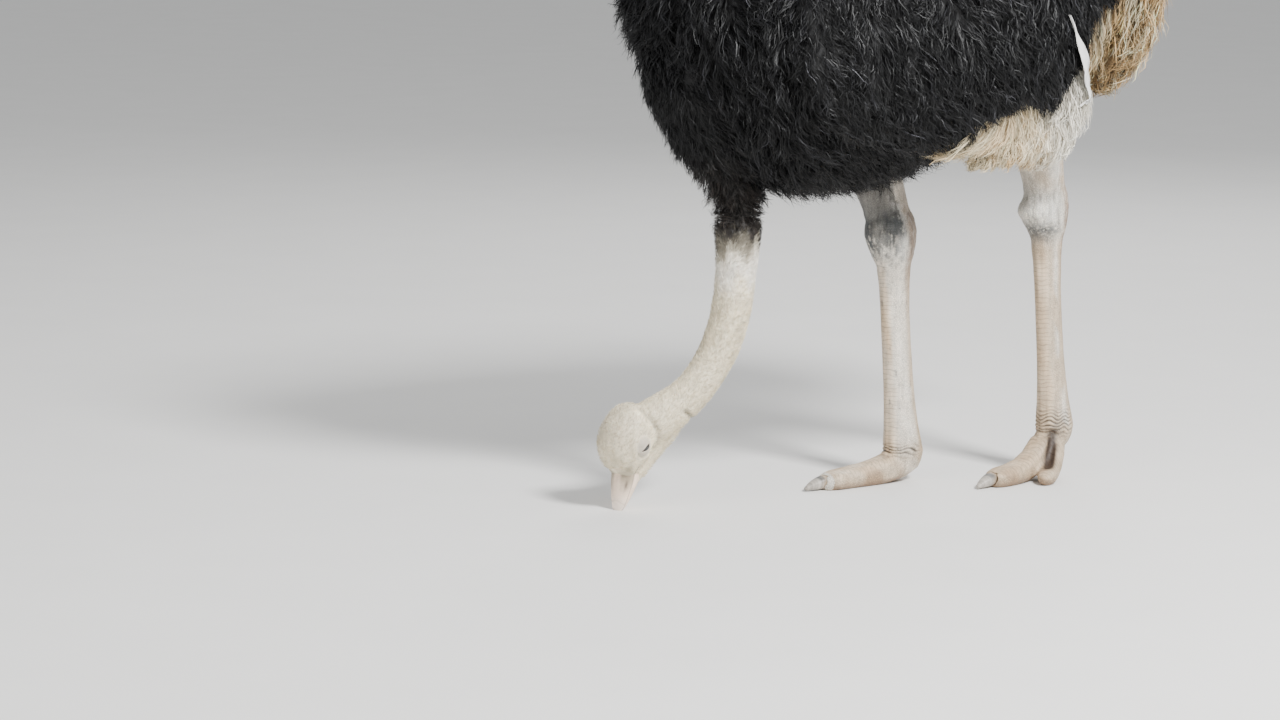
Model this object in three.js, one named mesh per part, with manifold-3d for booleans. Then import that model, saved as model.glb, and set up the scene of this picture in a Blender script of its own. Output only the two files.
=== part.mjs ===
// A male ostrich, life size, feeding: the bill is at the ground and the right foot is forward.
// Millimetres. +Z is up, the bird faces -Y, and +X is its left side.
// Each part is a loft, which is a row of oval rings along a smooth line. Where two parts meet, one of
// them is cut by a copy of its neighbour that is swollen by GAP.
import * as THREE from 'three';
import { mergeVertices } from 'three/addons/utils/BufferGeometryUtils.js';
import Module from 'manifold-3d';

const wasm = await Module();
wasm.setup();

// ---- driving dimensions ----
const GAP = 0.3; // between neighbours
const BACK_TOP = 1362; // top of the plumage over the back
const BELLY_LOW = 636; // lowest plumage, under the breast
const FRONT_Y = -858; // front of the breast plumage
const RUMP_Y = 335; // rear end of the trunk, under the tail
const TRUNK_HALF_WIDTH = 282;
const WING_HALF_SPAN = 338; // the widest point of the folded wings, from the middle
const NECK_RADIUS = 45; // bare neck
const HEAD_TILT = 20; // degrees the bill leans forward of straight down
const HEAD_TURN = 18; // degrees the crown is turned to the bird's left
const HEAD_AT = [-46, -846, 131]; // between the eyes
const BILL_LENGTH = 134; // from between the eyes to the bill's tip, part of it cut flat by the floor
const SHANK_BOW = 4;
const EYE_RADIUS = 22;
// The frame's origin is on the floor, under the middle of the bounding box.
const CENTRE_X = 0;
const CENTRE_Y = -242;

// ---- lofts and cuts ----

// A point of a ring. Its oval has one height above the line and another below it, and grows squarer
// as squareness passes 2.
function ringPoint(angle, half, squareness) {
  const power = 2 / squareness;
  const c = Math.cos(angle);
  const s = Math.sin(angle);
  const height = s > 0 ? half.y : half.z;
  return [Math.sign(c) * Math.abs(c) ** power * half.x, Math.sign(s) * Math.abs(s) ** power * height];
}

// stations: { at: [x, y, z], wide, up, down } with half sizes, where up is the same as down if it is
// left out. side is the direction of a ring's width, and grow swells the form on all sides. The rings
// are square to the line, unless facing gives one direction for them all.
function loft(stations, { rings, sides, side = [1, 0, 0], facing, squareness = 2, grow = 0 }) {
  const line = new THREE.CatmullRomCurve3(stations.map((s) => new THREE.Vector3(...s.at)));
  const sizes = new THREE.CatmullRomCurve3(
    stations.map((s) => new THREE.Vector3(s.wide, s.up ?? s.down, s.down)),
  );
  line.curveType = 'centripetal';
  sizes.curveType = 'centripetal';
  const across = new THREE.Vector3(...side);
  const points = [];
  const ends = [];
  for (let i = 0; i <= rings; i++) {
    const t = i / rings;
    const middle = line.getPoint(t);
    const tangent = facing ? new THREE.Vector3(...facing) : line.getTangent(t);
    const lift = new THREE.Vector3().crossVectors(tangent, across).normalize();
    const width = new THREE.Vector3().crossVectors(lift, tangent).normalize();
    const half = sizes.getPoint(t).addScalar(grow);
    if (i === 0) middle.addScaledVector(tangent, -grow);
    if (i === rings) middle.addScaledVector(tangent, grow);
    if (i === 0 || i === rings) ends.push(middle.clone());
    for (let j = 0; j < sides; j++) {
      const [w, h] = ringPoint((2 * Math.PI * j) / sides, half, squareness);
      points.push(middle.clone().addScaledVector(width, w).addScaledVector(lift, h));
    }
  }
  const faces = [];
  for (let i = 0; i < rings; i++) {
    for (let j = 0; j < sides; j++) {
      const a = i * sides + j;
      const b = i * sides + ((j + 1) % sides);
      faces.push(a, b, b + sides, a, b + sides, a + sides);
    }
  }
  const centres = points.length;
  points.push(...ends);
  for (let j = 0; j < sides; j++) {
    const k = (j + 1) % sides;
    faces.push(centres, k, j, centres + 1, rings * sides + j, rings * sides + k);
  }
  return closed(points, faces);
}

// A solid from points and triangles, turned to face out.
function closed(points, faces) {
  const vertProperties = new Float32Array(points.flatMap((p) => p.toArray()));
  const make = (order) =>
    new wasm.Manifold(new wasm.Mesh({ numProp: 3, vertProperties, triVerts: new Uint32Array(order) }));
  const solid = make(faces);
  return solid.volume() > 0 ? solid : make(faces.toReversed());
}

function ball(centre, radius) {
  const shape = new THREE.SphereGeometry(radius, 14, 9).translate(...centre);
  shape.deleteAttribute('normal');
  shape.deleteAttribute('uv');
  const merged = mergeVertices(shape, 1e-3);
  const at = merged.getAttribute('position');
  const points = Array.from({ length: at.count }, (_, i) => new THREE.Vector3().fromBufferAttribute(at, i));
  return closed(points, [...merged.index.array]);
}

// The largest piece left of a solid once the others are taken away.
function less(solid, ...others) {
  const rest = others.reduce((kept, other) => kept.subtract(other), solid);
  return rest.decompose().sort((a, b) => b.volume() - a.volume())[0];
}

// The lengths of a solid between planes, with half of GAP left off on each side of a plane.
function parted(solid, planes) {
  const lengths = [];
  let rest = solid;
  for (const { at, towards } of planes) {
    const normal = new THREE.Vector3(...towards).normalize();
    const level = normal.dot(new THREE.Vector3(...at));
    lengths.push(less(rest.trimByPlane(normal.clone().negate().toArray(), GAP / 2 - level)));
    rest = less(rest.trimByPlane(normal.toArray(), level + GAP / 2));
  }
  return [...lengths, rest];
}

const aboveFloor = (solid) => solid.trimByPlane([0, 0, 1], 0);

// ---- trunk ----

function trunkForm(grow = 0) {
  const station = (y, low, high, width) => {
    const down = (high - low) / 2;
    return { at: [0, y, low + down], wide: width * TRUNK_HALF_WIDTH, down };
  };
  return loft(
    [
      station(FRONT_Y, 1050, 1120, 0.16),
      station(FRONT_Y + 28, 958, 1195, 0.44),
      station(FRONT_Y + 98, 862, BACK_TOP - 104, 0.7),
      station(FRONT_Y + 190, 758, BACK_TOP - 62, 0.87),
      station(FRONT_Y + 300, BELLY_LOW + 24, BACK_TOP - 30, 0.97),
      station(FRONT_Y + 440, BELLY_LOW, BACK_TOP - 8, 1),
      station(FRONT_Y + 600, BELLY_LOW + 22, BACK_TOP + 2, 1),
      station(-90, BELLY_LOW + 82, BACK_TOP, 0.98),
      station(90, BELLY_LOW + 168, BACK_TOP - 28, 0.86),
      station(RUMP_Y - 95, 905, BACK_TOP - 72, 0.64),
      station(RUMP_Y, 1030, BACK_TOP - 165, 0.25),
    ],
    { rings: 18, sides: 20, facing: [0, 1, 0], squareness: 2.15, grow },
  );
}

// ---- wings: black coverts folded on each flank, and white plumes along their rear edge ----

function wingForm(side, grow = 0) {
  const station = (y, span, width, z, down) => ({ at: [side * (span - width), y, z], wide: width, down });
  const span = WING_HALF_SPAN;
  return loft(
    [
      station(-640, span - 88, 20, 1000, 60),
      station(-560, span - 44, 66, 998, 178),
      station(-400, span - 8, 96, 990, 236),
      station(-220, span, 104, 985, 250),
      station(-50, span - 20, 92, 985, 224),
      station(60, span - 56, 66, 982, 170),
      station(118, span - 92, 22, 985, 88),
    ],
    { rings: 11, sides: 16, facing: [0, 1, 0], grow },
  );
}

function wingPlumeForm(side, grow = 0) {
  return loft(
    [
      { at: [side * 238, 44, 1070], wide: 10, down: 16 },
      { at: [side * 236, 64, 1000], wide: 24, down: 28 },
      { at: [side * 228, 74, 905], wide: 36, down: 38 },
      { at: [side * 218, 76, 812], wide: 46, down: 50 },
      { at: [side * 212, 44, 766], wide: 50, down: 56 },
      { at: [side * 212, -56, 750], wide: 46, down: 42 },
      { at: [side * 208, -165, 724], wide: 26, down: 24 },
    ],
    { rings: 12, sides: 10, grow },
  );
}

// ---- tail: a drooping bunch of soft plumes ----

function tailForm(grow = 0) {
  return loft(
    [
      { at: [0, 150, 1235], wide: 110, down: 84 },
      { at: [0, 262, 1222], wide: 150, down: 96 },
      { at: [0, 326, 1122], wide: 166, down: 90 },
      { at: [0, 336, 1000], wide: 152, down: 76 },
      { at: [0, 318, 900], wide: 112, down: 54 },
      { at: [0, 298, 828], wide: 44, down: 18 },
    ],
    { rings: 9, sides: 16, squareness: 2.2, grow },
  );
}

// ---- neck: from inside the breast down to the back of the head ----

const FEATHERED_TO = { at: [0, -603, 592], towards: [0, 0, -1] };
const NECK_BEND = { at: [0, -630, 372], towards: [0, -0.42, -0.9] };

function neckForm(grow = 0) {
  const r = NECK_RADIUS;
  return loft(
    [
      { at: [0, -520, 1110], wide: 185, down: 200 },
      { at: [0, -640, 1020], wide: 176, up: 194, down: 180 },
      { at: [0, -676, 895], wide: 136, up: 141, down: 140 },
      { at: [0, -644, 785], wide: 96, up: 110, down: 98 },
      { at: [0, -608, 690], wide: 71, up: 84, down: 76 },
      { at: [-2, -600, 590], wide: 1.14 * r, up: 1.2 * r, down: 1.22 * r },
      { at: [-6, -602, 490], wide: 0.94 * r, up: r, down: r },
      { at: [-12, -611, 405], wide: 0.94 * r, up: 0.98 * r, down: r },
      { at: [-20, -630, 338], wide: 0.92 * r, up: 0.94 * r, down: r },
      { at: [-28, -659, 282], wide: 0.87 * r, up: 0.9 * r, down: 0.98 * r },
      { at: [-34, -695, 238], wide: 0.86 * r, up: 0.9 * r, down: r },
      { at: [-40, -741, 203], wide: 0.92 * r, up: 1.06 * r, down: 1.06 * r },
      { at: [-44, -788, 170], wide: 0.95 * r, up: 1.28 * r, down: r },
      { at: [-47, -826, 134], wide: 0.8 * r, up: 0.95 * r, down: 0.8 * r },
    ],
    { rings: 24, sides: 14, grow },
  );
}

// ---- head: skull, eyes and the two halves of the bill, set out in the head's own directions ----

const turn = THREE.MathUtils.degToRad(HEAD_TURN);
const tilt = THREE.MathUtils.degToRad(HEAD_TILT);
const headLeft = new THREE.Vector3(Math.cos(turn), Math.sin(turn), 0);
const headAhead = new THREE.Vector3(
  Math.sin(turn) * Math.sin(tilt),
  -Math.cos(turn) * Math.sin(tilt),
  -Math.cos(tilt),
);
const headUp = new THREE.Vector3().crossVectors(headAhead, headLeft);

// A point given by its distances ahead along the bill, up through the crown and out to the left.
function inHead(ahead, up = 0, left = 0) {
  return new THREE.Vector3(...HEAD_AT)
    .addScaledVector(headAhead, ahead)
    .addScaledVector(headUp, up)
    .addScaledVector(headLeft, left)
    .toArray();
}

const headLoft = { side: headLeft.toArray(), squareness: 2.15 };

function skullForm(grow = 0) {
  const dome = loft(
    [
      { at: inHead(-94, -6), wide: 16, down: 16 },
      { at: inHead(-83, -4), wide: 38, up: 34, down: 36 },
      { at: inHead(-56, -1), wide: 53, up: 52, down: 50 },
      { at: inHead(-22, 0), wide: 59, up: 61, down: 56 },
      { at: inHead(6, -2), wide: 58, up: 58, down: 54 },
      { at: inHead(30, -6), wide: 50, up: 45, down: 46 },
      { at: inHead(48, -12), wide: 38, up: 27, down: 34 },
      { at: inHead(60, -15), wide: 31, up: 17, down: 24 },
    ],
    { rings: 12, sides: 16, ...headLoft, grow },
  );
  const brows = [1, -1].map((left) =>
    loft(
      [
        { at: inHead(-44, 12, 42 * left), wide: 9, down: 12 },
        { at: inHead(-20, 17, 43 * left), wide: 19, down: 20 },
        { at: inHead(6, 16, 43 * left), wide: 18, down: 18 },
        { at: inHead(34, 4, 33 * left), wide: 8, down: 9 },
      ],
      { rings: 5, sides: 8, ...headLoft, grow },
    ),
  );
  // Loose skin fills the throat from the lower jaw back to the neck.
  const throat = loft(
    [
      { at: inHead(-120, -88, 42), wide: 26, up: 24, down: 22 },
      { at: inHead(-98, -84, 36), wide: 34, up: 30, down: 32 },
      { at: inHead(-66, -77, 22), wide: 37, up: 36, down: 39 },
      { at: inHead(-32, -63, 7), wide: 40, up: 38, down: 41 },
      { at: inHead(2, -50), wide: 42, up: 36, down: 38 },
      { at: inHead(38, -38), wide: 36, up: 24, down: 33 },
      { at: inHead(68, -34), wide: 24, up: 12, down: 23 },
    ],
    { rings: 9, sides: 10, ...headLoft, grow },
  );
  return [...brows, throat].reduce((whole, form) => whole.add(form), dome);
}

function billForm(grow = 0) {
  const sheath = loft(
    [
      { at: inHead(40, -16), wide: 33, up: 22, down: 36 },
      { at: inHead(62, -18), wide: 31, up: 18, down: 36 },
      { at: inHead(88, -21), wide: 26, up: 14, down: 28 },
      { at: inHead(112, -25), wide: 20, up: 10, down: 18 },
      { at: inHead(BILL_LENGTH - 8, -29), wide: 14, up: 8, down: 10 },
      { at: inHead(BILL_LENGTH, -31), wide: 7, up: 4, down: 4 },
    ],
    { rings: 8, sides: 14, ...headLoft, squareness: 2.3, grow },
  );
  const ridge = loft(
    [
      { at: inHead(44, 0), wide: 12, down: 9 },
      { at: inHead(76, -8), wide: 11, down: 8 },
      { at: inHead(104, -16), wide: 9, down: 6 },
      { at: inHead(124, -24), wide: 7, down: 5 },
    ],
    { rings: 4, sides: 8, ...headLoft, grow },
  );
  return sheath.add(ridge);
}

const GAPE = { at: inHead(80, -22), towards: headUp.clone().addScaledVector(headAhead, 0.12).toArray() };
const eyeForm = (left, grow = 0) => ball(inHead(-8, -1, 42 * left), EYE_RADIUS + grow);

// ---- legs: each is one loft from the foot past the hock to the knee ----

const LEGS = {
  right: { side: -1, foot: [-38, -166, 60], hock: [-50, -190, 540], knee: [-150, -352, 985], toesOut: -4, lift: 0 },
  left: { side: 1, foot: [60, 165, 106], hock: [61, 132, 588], knee: [148, -62, 1052], toesOut: 17, lift: 44 },
};

function legForm(leg, grow = 0) {
  const turn = THREE.MathUtils.degToRad(leg.side * leg.toesOut);
  const foot = new THREE.Vector3(...leg.foot);
  const hock = new THREE.Vector3(...leg.hock);
  const knee = new THREE.Vector3(...leg.knee);
  // The shank bows forward a little between the foot and the hock.
  const shank = (share) => {
    const at = foot.clone().lerp(hock, share);
    at.y -= SHANK_BOW * Math.sin(Math.PI * THREE.MathUtils.clamp(share, 0, 1));
    return at.toArray();
  };
  // The shin bows back from the hock on its way up to the knee.
  const shin = (share, back) => {
    const at = hock.clone().lerp(knee, share);
    at.y += back;
    return at.toArray();
  };
  return loft(
    [
      { at: shank(-0.075), wide: 27, up: 27, down: 34 },
      { at: shank(0), wide: 40, up: 46, down: 50 },
      { at: shank(0.11), wide: 33, up: 40, down: 43 },
      { at: shank(0.3), wide: 25, up: 35, down: 39 },
      { at: shank(0.6), wide: 24, up: 34, down: 37 },
      { at: shank(0.84), wide: 30, up: 36, down: 40 },
      { at: shank(0.94), wide: 43, up: 57, down: 53 },
      { at: shin(0.03, 3), wide: 47, up: 66, down: 60 },
      { at: shin(0.12, 10), wide: 40, up: 52, down: 54 },
      { at: shin(0.26, 16), wide: 47, up: 54, down: 62 },
      { at: shin(0.46, 18), wide: 70, up: 80, down: 92 },
      { at: shin(0.72, 14), wide: 88, up: 110, down: 120 },
      { at: shin(1, 0), wide: 86, up: 104, down: 104 },
    ],
    { rings: 23, sides: 12, side: [-Math.cos(turn), -Math.sin(turn), 0], grow },
  );
}

// A point of a toe: distance is measured on the ground along the bearing, from under the foot joint.
function toePoint(leg, bearing, distance, height, aside = 0) {
  const angle = THREE.MathUtils.degToRad(bearing);
  return [
    leg.foot[0] + leg.side * (Math.sin(angle) * distance + aside),
    leg.foot[1] - Math.cos(angle) * distance,
    height,
  ];
}

function innerToeForm(leg, grow = 0) {
  const at = (distance, height) => toePoint(leg, leg.toesOut, distance, height);
  return loft(
    [
      { at: at(-18, 38 + leg.lift), wide: 24, up: 30, down: 22 },
      { at: at(18, 37 + 0.92 * leg.lift), wide: 36, up: 33, down: 33 },
      { at: at(70, 27 + 0.3 * leg.lift), wide: 34, up: 28, down: 30 },
      { at: at(125, 23), wide: 33, up: 22, down: 27 },
      { at: at(178, 21), wide: 34, up: 19, down: 25 },
      { at: at(204, 18), wide: 27, up: 15, down: 21 },
      { at: at(216, 16), wide: 14, up: 8, down: 12 },
    ],
    { rings: 9, sides: 12, squareness: 2.4, grow },
  );
}

function outerToeForm(leg, grow = 0) {
  const at = (distance, height) => toePoint(leg, leg.toesOut + 28, distance, height, 12);
  return loft(
    [
      { at: at(-12, 34 + leg.lift), wide: 15, up: 20, down: 18 },
      { at: at(18, 31 + 0.8 * leg.lift), wide: 22, up: 24, down: 24 },
      { at: at(60, 22 + 0.18 * leg.lift), wide: 22, up: 19, down: 24 },
      { at: at(104, 18), wide: 22, up: 15, down: 22 },
      { at: at(128, 15), wide: 14, up: 9, down: 15 },
      { at: at(136, 13), wide: 6, up: 4, down: 6 },
    ],
    { rings: 8, sides: 10, squareness: 2.3, grow },
  );
}

function clawForm(leg, grow = 0) {
  const at = (distance, height) => toePoint(leg, leg.toesOut, distance, height);
  return loft(
    [
      { at: at(194, 22), wide: 17, up: 10, down: 14 },
      { at: at(214, 20), wide: 17, up: 10, down: 17 },
      { at: at(236, 13), wide: 12, up: 7, down: 11 },
      { at: at(256, 5), wide: 4, up: 3, down: 4 },
    ],
    { rings: 6, sides: 8, grow },
  );
}

// ---- colours ----

const finish = (color, roughness) => new THREE.MeshStandardMaterial({ color, roughness, metalness: 0 });
const BLACK_PLUMAGE = finish(0x17181b, 0.75);
const WHITE_PLUMES = finish(0xe4dfd3, 0.8);
const TAN_PLUMES = finish(0xb3966c, 0.85);
const PALE_SKIN = finish(0xcfc8bc, 0.7);
const LEG_SKIN = finish(0xcdc5b8, 0.6);
const BILL_HORN = finish(0xd8bcae, 0.4);
const EYE_DARK = finish(0x1c1410, 0.1);
const CLAW_HORN = finish(0x6d675f, 0.45);

// ---- assembly ----

const ostrich = new THREE.Group();

function add(name, solid, material) {
  const { numProp, numVert, vertProperties, triVerts } = solid.getMesh();
  const at = new Float32Array(numVert * 3);
  for (let i = 0; i < numVert; i++) at.set(vertProperties.subarray(i * numProp, i * numProp + 3), 3 * i);
  const geometry = new THREE.BufferGeometry();
  geometry.setAttribute('position', new THREE.BufferAttribute(at, 3));
  geometry.setIndex(new THREE.BufferAttribute(triVerts, 1));
  geometry.computeVertexNormals();
  const mesh = new THREE.Mesh(geometry, material);
  mesh.name = name;
  ostrich.add(mesh);
}

function addTrunkAndTail() {
  add('trunk', trunkForm(), BLACK_PLUMAGE);
  add('tail', less(tailForm(), trunkForm(GAP)), TAN_PLUMES);
}

function addWings() {
  for (const [name, side] of [['left', 1], ['right', -1]]) {
    const coverts = less(wingForm(side), trunkForm(GAP), neckForm(GAP));
    const plumes = less(wingPlumeForm(side), trunkForm(GAP), wingForm(side, GAP));
    add(`wing_${name}`, coverts, BLACK_PLUMAGE);
    add(`wing_plumes_${name}`, plumes, WHITE_PLUMES);
  }
}

function addNeck() {
  const neck = less(neckForm(), trunkForm(GAP), skullForm(GAP), billForm(GAP));
  const [base, middle, upper] = parted(neck, [FEATHERED_TO, NECK_BEND]);
  add('neck_base', base, BLACK_PLUMAGE);
  add('neck_middle', middle, PALE_SKIN);
  add('neck_upper', upper, PALE_SKIN);
}

function addHead() {
  add('head', less(skullForm(), billForm(GAP), eyeForm(1, GAP), eyeForm(-1, GAP)), PALE_SKIN);
  const [lower, upper] = parted(aboveFloor(billForm()), [GAPE]);
  add('bill_lower', lower, BILL_HORN);
  add('bill_upper', upper, BILL_HORN);
  add('eye_left', eyeForm(1), EYE_DARK);
  add('eye_right', eyeForm(-1), EYE_DARK);
}

function addLegs() {
  const plumage = [trunkForm(GAP), ...[1, -1].flatMap((side) => [wingForm(side, GAP), wingPlumeForm(side, GAP)])];
  for (const [name, leg] of Object.entries(LEGS)) {
    const [x, y, z] = leg.hock;
    const [shank, hock, thigh] = parted(less(aboveFloor(legForm(leg)), ...plumage), [
      { at: [x, y, z - 50], towards: [0, 0, 1] },
      { at: [x, y, z + 72], towards: [0, 0, 1] },
    ]);
    const inner = less(aboveFloor(innerToeForm(leg)), legForm(leg, GAP), clawForm(leg, GAP));
    const outer = less(aboveFloor(outerToeForm(leg)), legForm(leg, GAP), innerToeForm(leg, GAP));
    add(`thigh_${name}`, thigh, LEG_SKIN);
    add(`hock_${name}`, hock, LEG_SKIN);
    add(`shank_${name}`, shank, LEG_SKIN);
    add(`toe_inner_${name}`, inner, LEG_SKIN);
    add(`toe_outer_${name}`, outer, LEG_SKIN);
    add(`claw_${name}`, aboveFloor(clawForm(leg)), CLAW_HORN);
  }
}

addTrunkAndTail();
addWings();
addNeck();
addHead();
addLegs();

for (const mesh of ostrich.children) mesh.geometry.translate(-CENTRE_X, -CENTRE_Y, 0);

export default ostrich;
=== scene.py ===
"""A male ostrich feeding, as a life-size museum model: skin, eyes, bill, claws, plumage and stage."""
import functools
import math

import bmesh
import bpy
import numpy as np
from bpy.props import FloatProperty, FloatVectorProperty, PointerProperty
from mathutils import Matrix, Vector
from mathutils.bvhtree import BVHTree


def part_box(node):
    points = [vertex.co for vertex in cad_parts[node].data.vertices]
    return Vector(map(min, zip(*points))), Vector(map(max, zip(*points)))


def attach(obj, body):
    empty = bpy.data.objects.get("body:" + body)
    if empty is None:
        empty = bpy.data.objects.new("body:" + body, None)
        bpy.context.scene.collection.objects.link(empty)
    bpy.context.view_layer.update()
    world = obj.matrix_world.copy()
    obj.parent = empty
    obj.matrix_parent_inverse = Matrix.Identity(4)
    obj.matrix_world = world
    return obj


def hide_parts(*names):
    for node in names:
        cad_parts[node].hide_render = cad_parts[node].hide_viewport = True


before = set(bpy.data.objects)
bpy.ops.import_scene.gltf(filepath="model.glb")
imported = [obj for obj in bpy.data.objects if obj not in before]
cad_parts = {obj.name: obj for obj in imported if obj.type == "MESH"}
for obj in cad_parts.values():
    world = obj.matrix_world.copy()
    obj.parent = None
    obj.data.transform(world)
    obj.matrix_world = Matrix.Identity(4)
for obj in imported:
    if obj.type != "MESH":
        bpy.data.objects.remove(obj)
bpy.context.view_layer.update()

bl_info = {
    "name": "Feeding ostrich",
    "version": (1, 0, 0),
    "blender": (4, 5, 0),
    "location": "3D View > Sidebar > Ostrich",
    "description": "Dresses the ostrich's solids in skin, plumage, horn and eyes",
    "category": "Add Mesh",
}

# ---- the bird's own directions and marks, in metres ----

DOWN = np.array([0.0, 0.0, -1.0])
BACK = np.array([0.0, 1.0, 0.0])
HEAD_TILT = math.radians(20)
HEAD_TURN = math.radians(18)
HEAD_LEFT = np.array([math.cos(HEAD_TURN), math.sin(HEAD_TURN), 0.0])
HEAD_AHEAD = np.array(
    [
        math.sin(HEAD_TURN) * math.sin(HEAD_TILT),
        -math.cos(HEAD_TURN) * math.sin(HEAD_TILT),
        -math.cos(HEAD_TILT),
    ]
)
HEAD_UP = np.cross(HEAD_AHEAD, HEAD_LEFT)
EYE_AHEAD = -0.008  # how far the eyes are ahead of the head's middle, and above it
EYE_UP = -0.001
EYE_SIZE = 0.022  # radius of the eyeball
LID_PLACE = (-0.06, -0.03)  # how far the lids' middle faces ahead and up, for 1 to the side
LID_SLANT = math.radians(36)  # of the slit: its front corner is the higher one
SIDES = {"left": 1, "right": -1}  # which way each side lies from the middle
# Each leg: heights of its joints, how far its big toe turns out, below what height its toes begin, how
# strong its folds are, with their painted shade and the painted highlight on the knob, and how tan its
# shank and thigh. Then its grey hock (height over the joint, reach and strength), partly grey skin and
# partly painted shade on the hock's front; the painted shade around the knob; and its pale knob (height,
# place towards the front, and reach), partly pale skin and partly a painted highlight.
LEGS = {
    "left": {
        "hock": 0.588, "ankle": 0.122, "toes_out": math.radians(17), "toes_below": 0.105,
        "folds": 1.0, "tan_shank": 0.75, "tan_thigh": 0.45,
        "grey": (0.050, 0.055, 0.34), "knob_shade": 0.85, "pale": (0.002, 0.45, 0.35),
    },
    "right": {
        "hock": 0.540, "ankle": 0.072, "toes_out": math.radians(-4), "toes_below": 0.072,
        "folds": 0.0, "tan_shank": 0.15, "tan_thigh": 0.1,
        "grey": (0.065, 0.100, 0.96), "knob_shade": 0.35, "pale": (-0.016, -0.10, 0.32),
    },
}
# The white plumes show under this edge of the wing: distances back, and heights.
PLUME_EDGE_BACK = (0.03, 0.08, 0.11, 0.14, 0.20, 0.245, 0.28, 0.33)
PLUME_EDGE_UP = (0.750, 0.785, 0.797, 0.810, 0.814, 0.800, 0.834, 0.898)
# The gap between the left foot's toes runs down here: the skin sinks along it, and painted shade fills it.
TOE_GAP = ((0.097, 0.380, 0.098), (0.104, 0.373, 0.076), (0.118, 0.359, 0.050), (0.138, 0.342, 0.028))
# The cheek's ridge below and behind each eye: distances ahead of the head's middle, and above it.
CHEEK = ((-0.076, 0.020), (-0.058, -0.006), (-0.042, -0.022), (-0.020, -0.031), (0.006, -0.031))
# The long white quills curve down the wing's rear edge: places on the left wing.
QUILL_LINE = (
    (0.289, 0.262, 1.030), (0.286, 0.285, 0.992), (0.272, 0.316, 0.950), (0.258, 0.338, 0.905),
    (0.253, 0.347, 0.860), (0.256, 0.345, 0.815),
)

FLESH = (
    "trunk", "wing_left", "wing_right", "tail", "wing_plumes_left", "wing_plumes_right",
    "neck_base", "neck_middle", "neck_upper", "head",
    "thigh_left", "thigh_right", "hock_left", "hock_right", "shank_left", "shank_right",
    "toe_inner_left", "toe_inner_right", "toe_outer_left", "toe_outer_right",
)
FUZZY = ("neck_middle", "neck_upper", "head")
COAT_DEPTH = {  # shares of the body plumage's depth
    "trunk": 1.0, "wing_left": 1.0, "wing_right": 1.0, "neck_base": 0.8, "tail": 0.75,
    "wing_plumes_left": 0.6, "wing_plumes_right": 0.6,
}
# Lofts below list, for each station, the distance ahead, the height, and the halves of the section: to
# each side, above and below. This one fills the mouth, behind the two halves of the bill.
MOUTH_PLUG = (
    (0.030, -0.012, 0.033, 0.021, 0.038),
    (0.046, -0.016, 0.0315, 0.019, 0.036),
    (0.060, -0.0185, 0.0295, 0.0150, 0.034),
    (0.067, -0.0195, 0.026, 0.0115, 0.030),
)
NAIL = (
    (-0.031, 0.022, 0.0165, 0.010, 0.014),
    (-0.012, 0.020, 0.0168, 0.010, 0.017),
    (0.010, 0.014, 0.0125, 0.0075, 0.012),
    (0.0305, 0.006, 0.0042, 0.003, 0.004),
)
# The bill's halves follow the gape, so their stations have no height of their own.
BILL = {
    "upper": (
        (0.040, 0.0310, 0.0195, 0.0040),
        (0.062, 0.0308, 0.0190, 0.0040),
        (0.088, 0.0258, 0.0165, 0.0035),
        (0.112, 0.0198, 0.0120, 0.0030),
        (0.126, 0.0148, 0.0082, 0.0030),
        (0.1335, 0.0080, 0.0040, 0.0025),
    ),
    "lower": (
        (0.040, 0.0300, 0.0030, 0.0335),
        (0.062, 0.0300, 0.0030, 0.0330),
        (0.088, 0.0252, 0.0030, 0.0255),
        (0.112, 0.0190, 0.0020, 0.0160),
        (0.124, 0.0135, 0.0020, 0.0110),
        (0.1300, 0.0075, 0.0010, 0.0055),
    ),
}
EYE_RINGS, EYE_SIDES = 40, 48
LIDS_REACH = 0.030  # from the eye's middle, where the skin has its finest faces
FUZZ_FROM_EYE = 0.028
PLATE_DOWN, PLATE_OUT = 0.0095, 0.0085  # from one plate to the next, down a shank and out along a toe
TOUCHING = 0.0006  # the solids of flesh swell by this before they melt into one
VOXEL_SMOOTHING = 26  # rounds that even out the steps of the first skin
HIDDEN_ABOVE = 0.70  # plumage hides the body's skin above this height,
HIDDEN_KEPT = 0.12  # and this share of its faces is enough there
FEET_BELOW = 0.18
LEGS_BELOW = 0.90
OFF_FLOOR = 0.0004


def middle_of(node):
    low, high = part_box(node)
    return (np.array(low) + np.array(high)) / 2


def head_middle():
    """Where the head's distances start from, worked out from the eyes' places."""
    between = (middle_of("eye_left") + middle_of("eye_right")) / 2
    return between - HEAD_AHEAD * EYE_AHEAD - HEAD_UP * EYE_UP


def in_head(ahead, up=0.0, left=0.0):
    """The place at these distances from the head's middle."""
    return head_middle() + HEAD_AHEAD * ahead + HEAD_UP * up + HEAD_LEFT * left


def head_distances(points):
    """How far each point is ahead of the head's middle, above it and to its left."""
    away = points - head_middle()
    return away @ HEAD_AHEAD, away @ HEAD_UP, away @ HEAD_LEFT


def gape_up(ahead):
    """How high the line between the bill's halves is, above the head's middle."""
    return -0.022 - 0.12 * (ahead - 0.080)


def toe_way(name):
    """The direction on the floor in which a foot's big toe points."""
    turn = LEGS[name]["toes_out"]
    return np.array([SIDES[name] * math.sin(turn), -math.cos(turn), 0.0])


# ---- numbers ----


def unit(vectors):
    length = np.linalg.norm(vectors, axis=-1, keepdims=True)
    return vectors / np.maximum(length, 1e-9)


def eased(value, low, high):
    """0 below low, 1 above high and a smooth step between them."""
    share = np.clip((value - low) / (high - low), 0, 1)
    return share * share * (3 - 2 * share)


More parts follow.
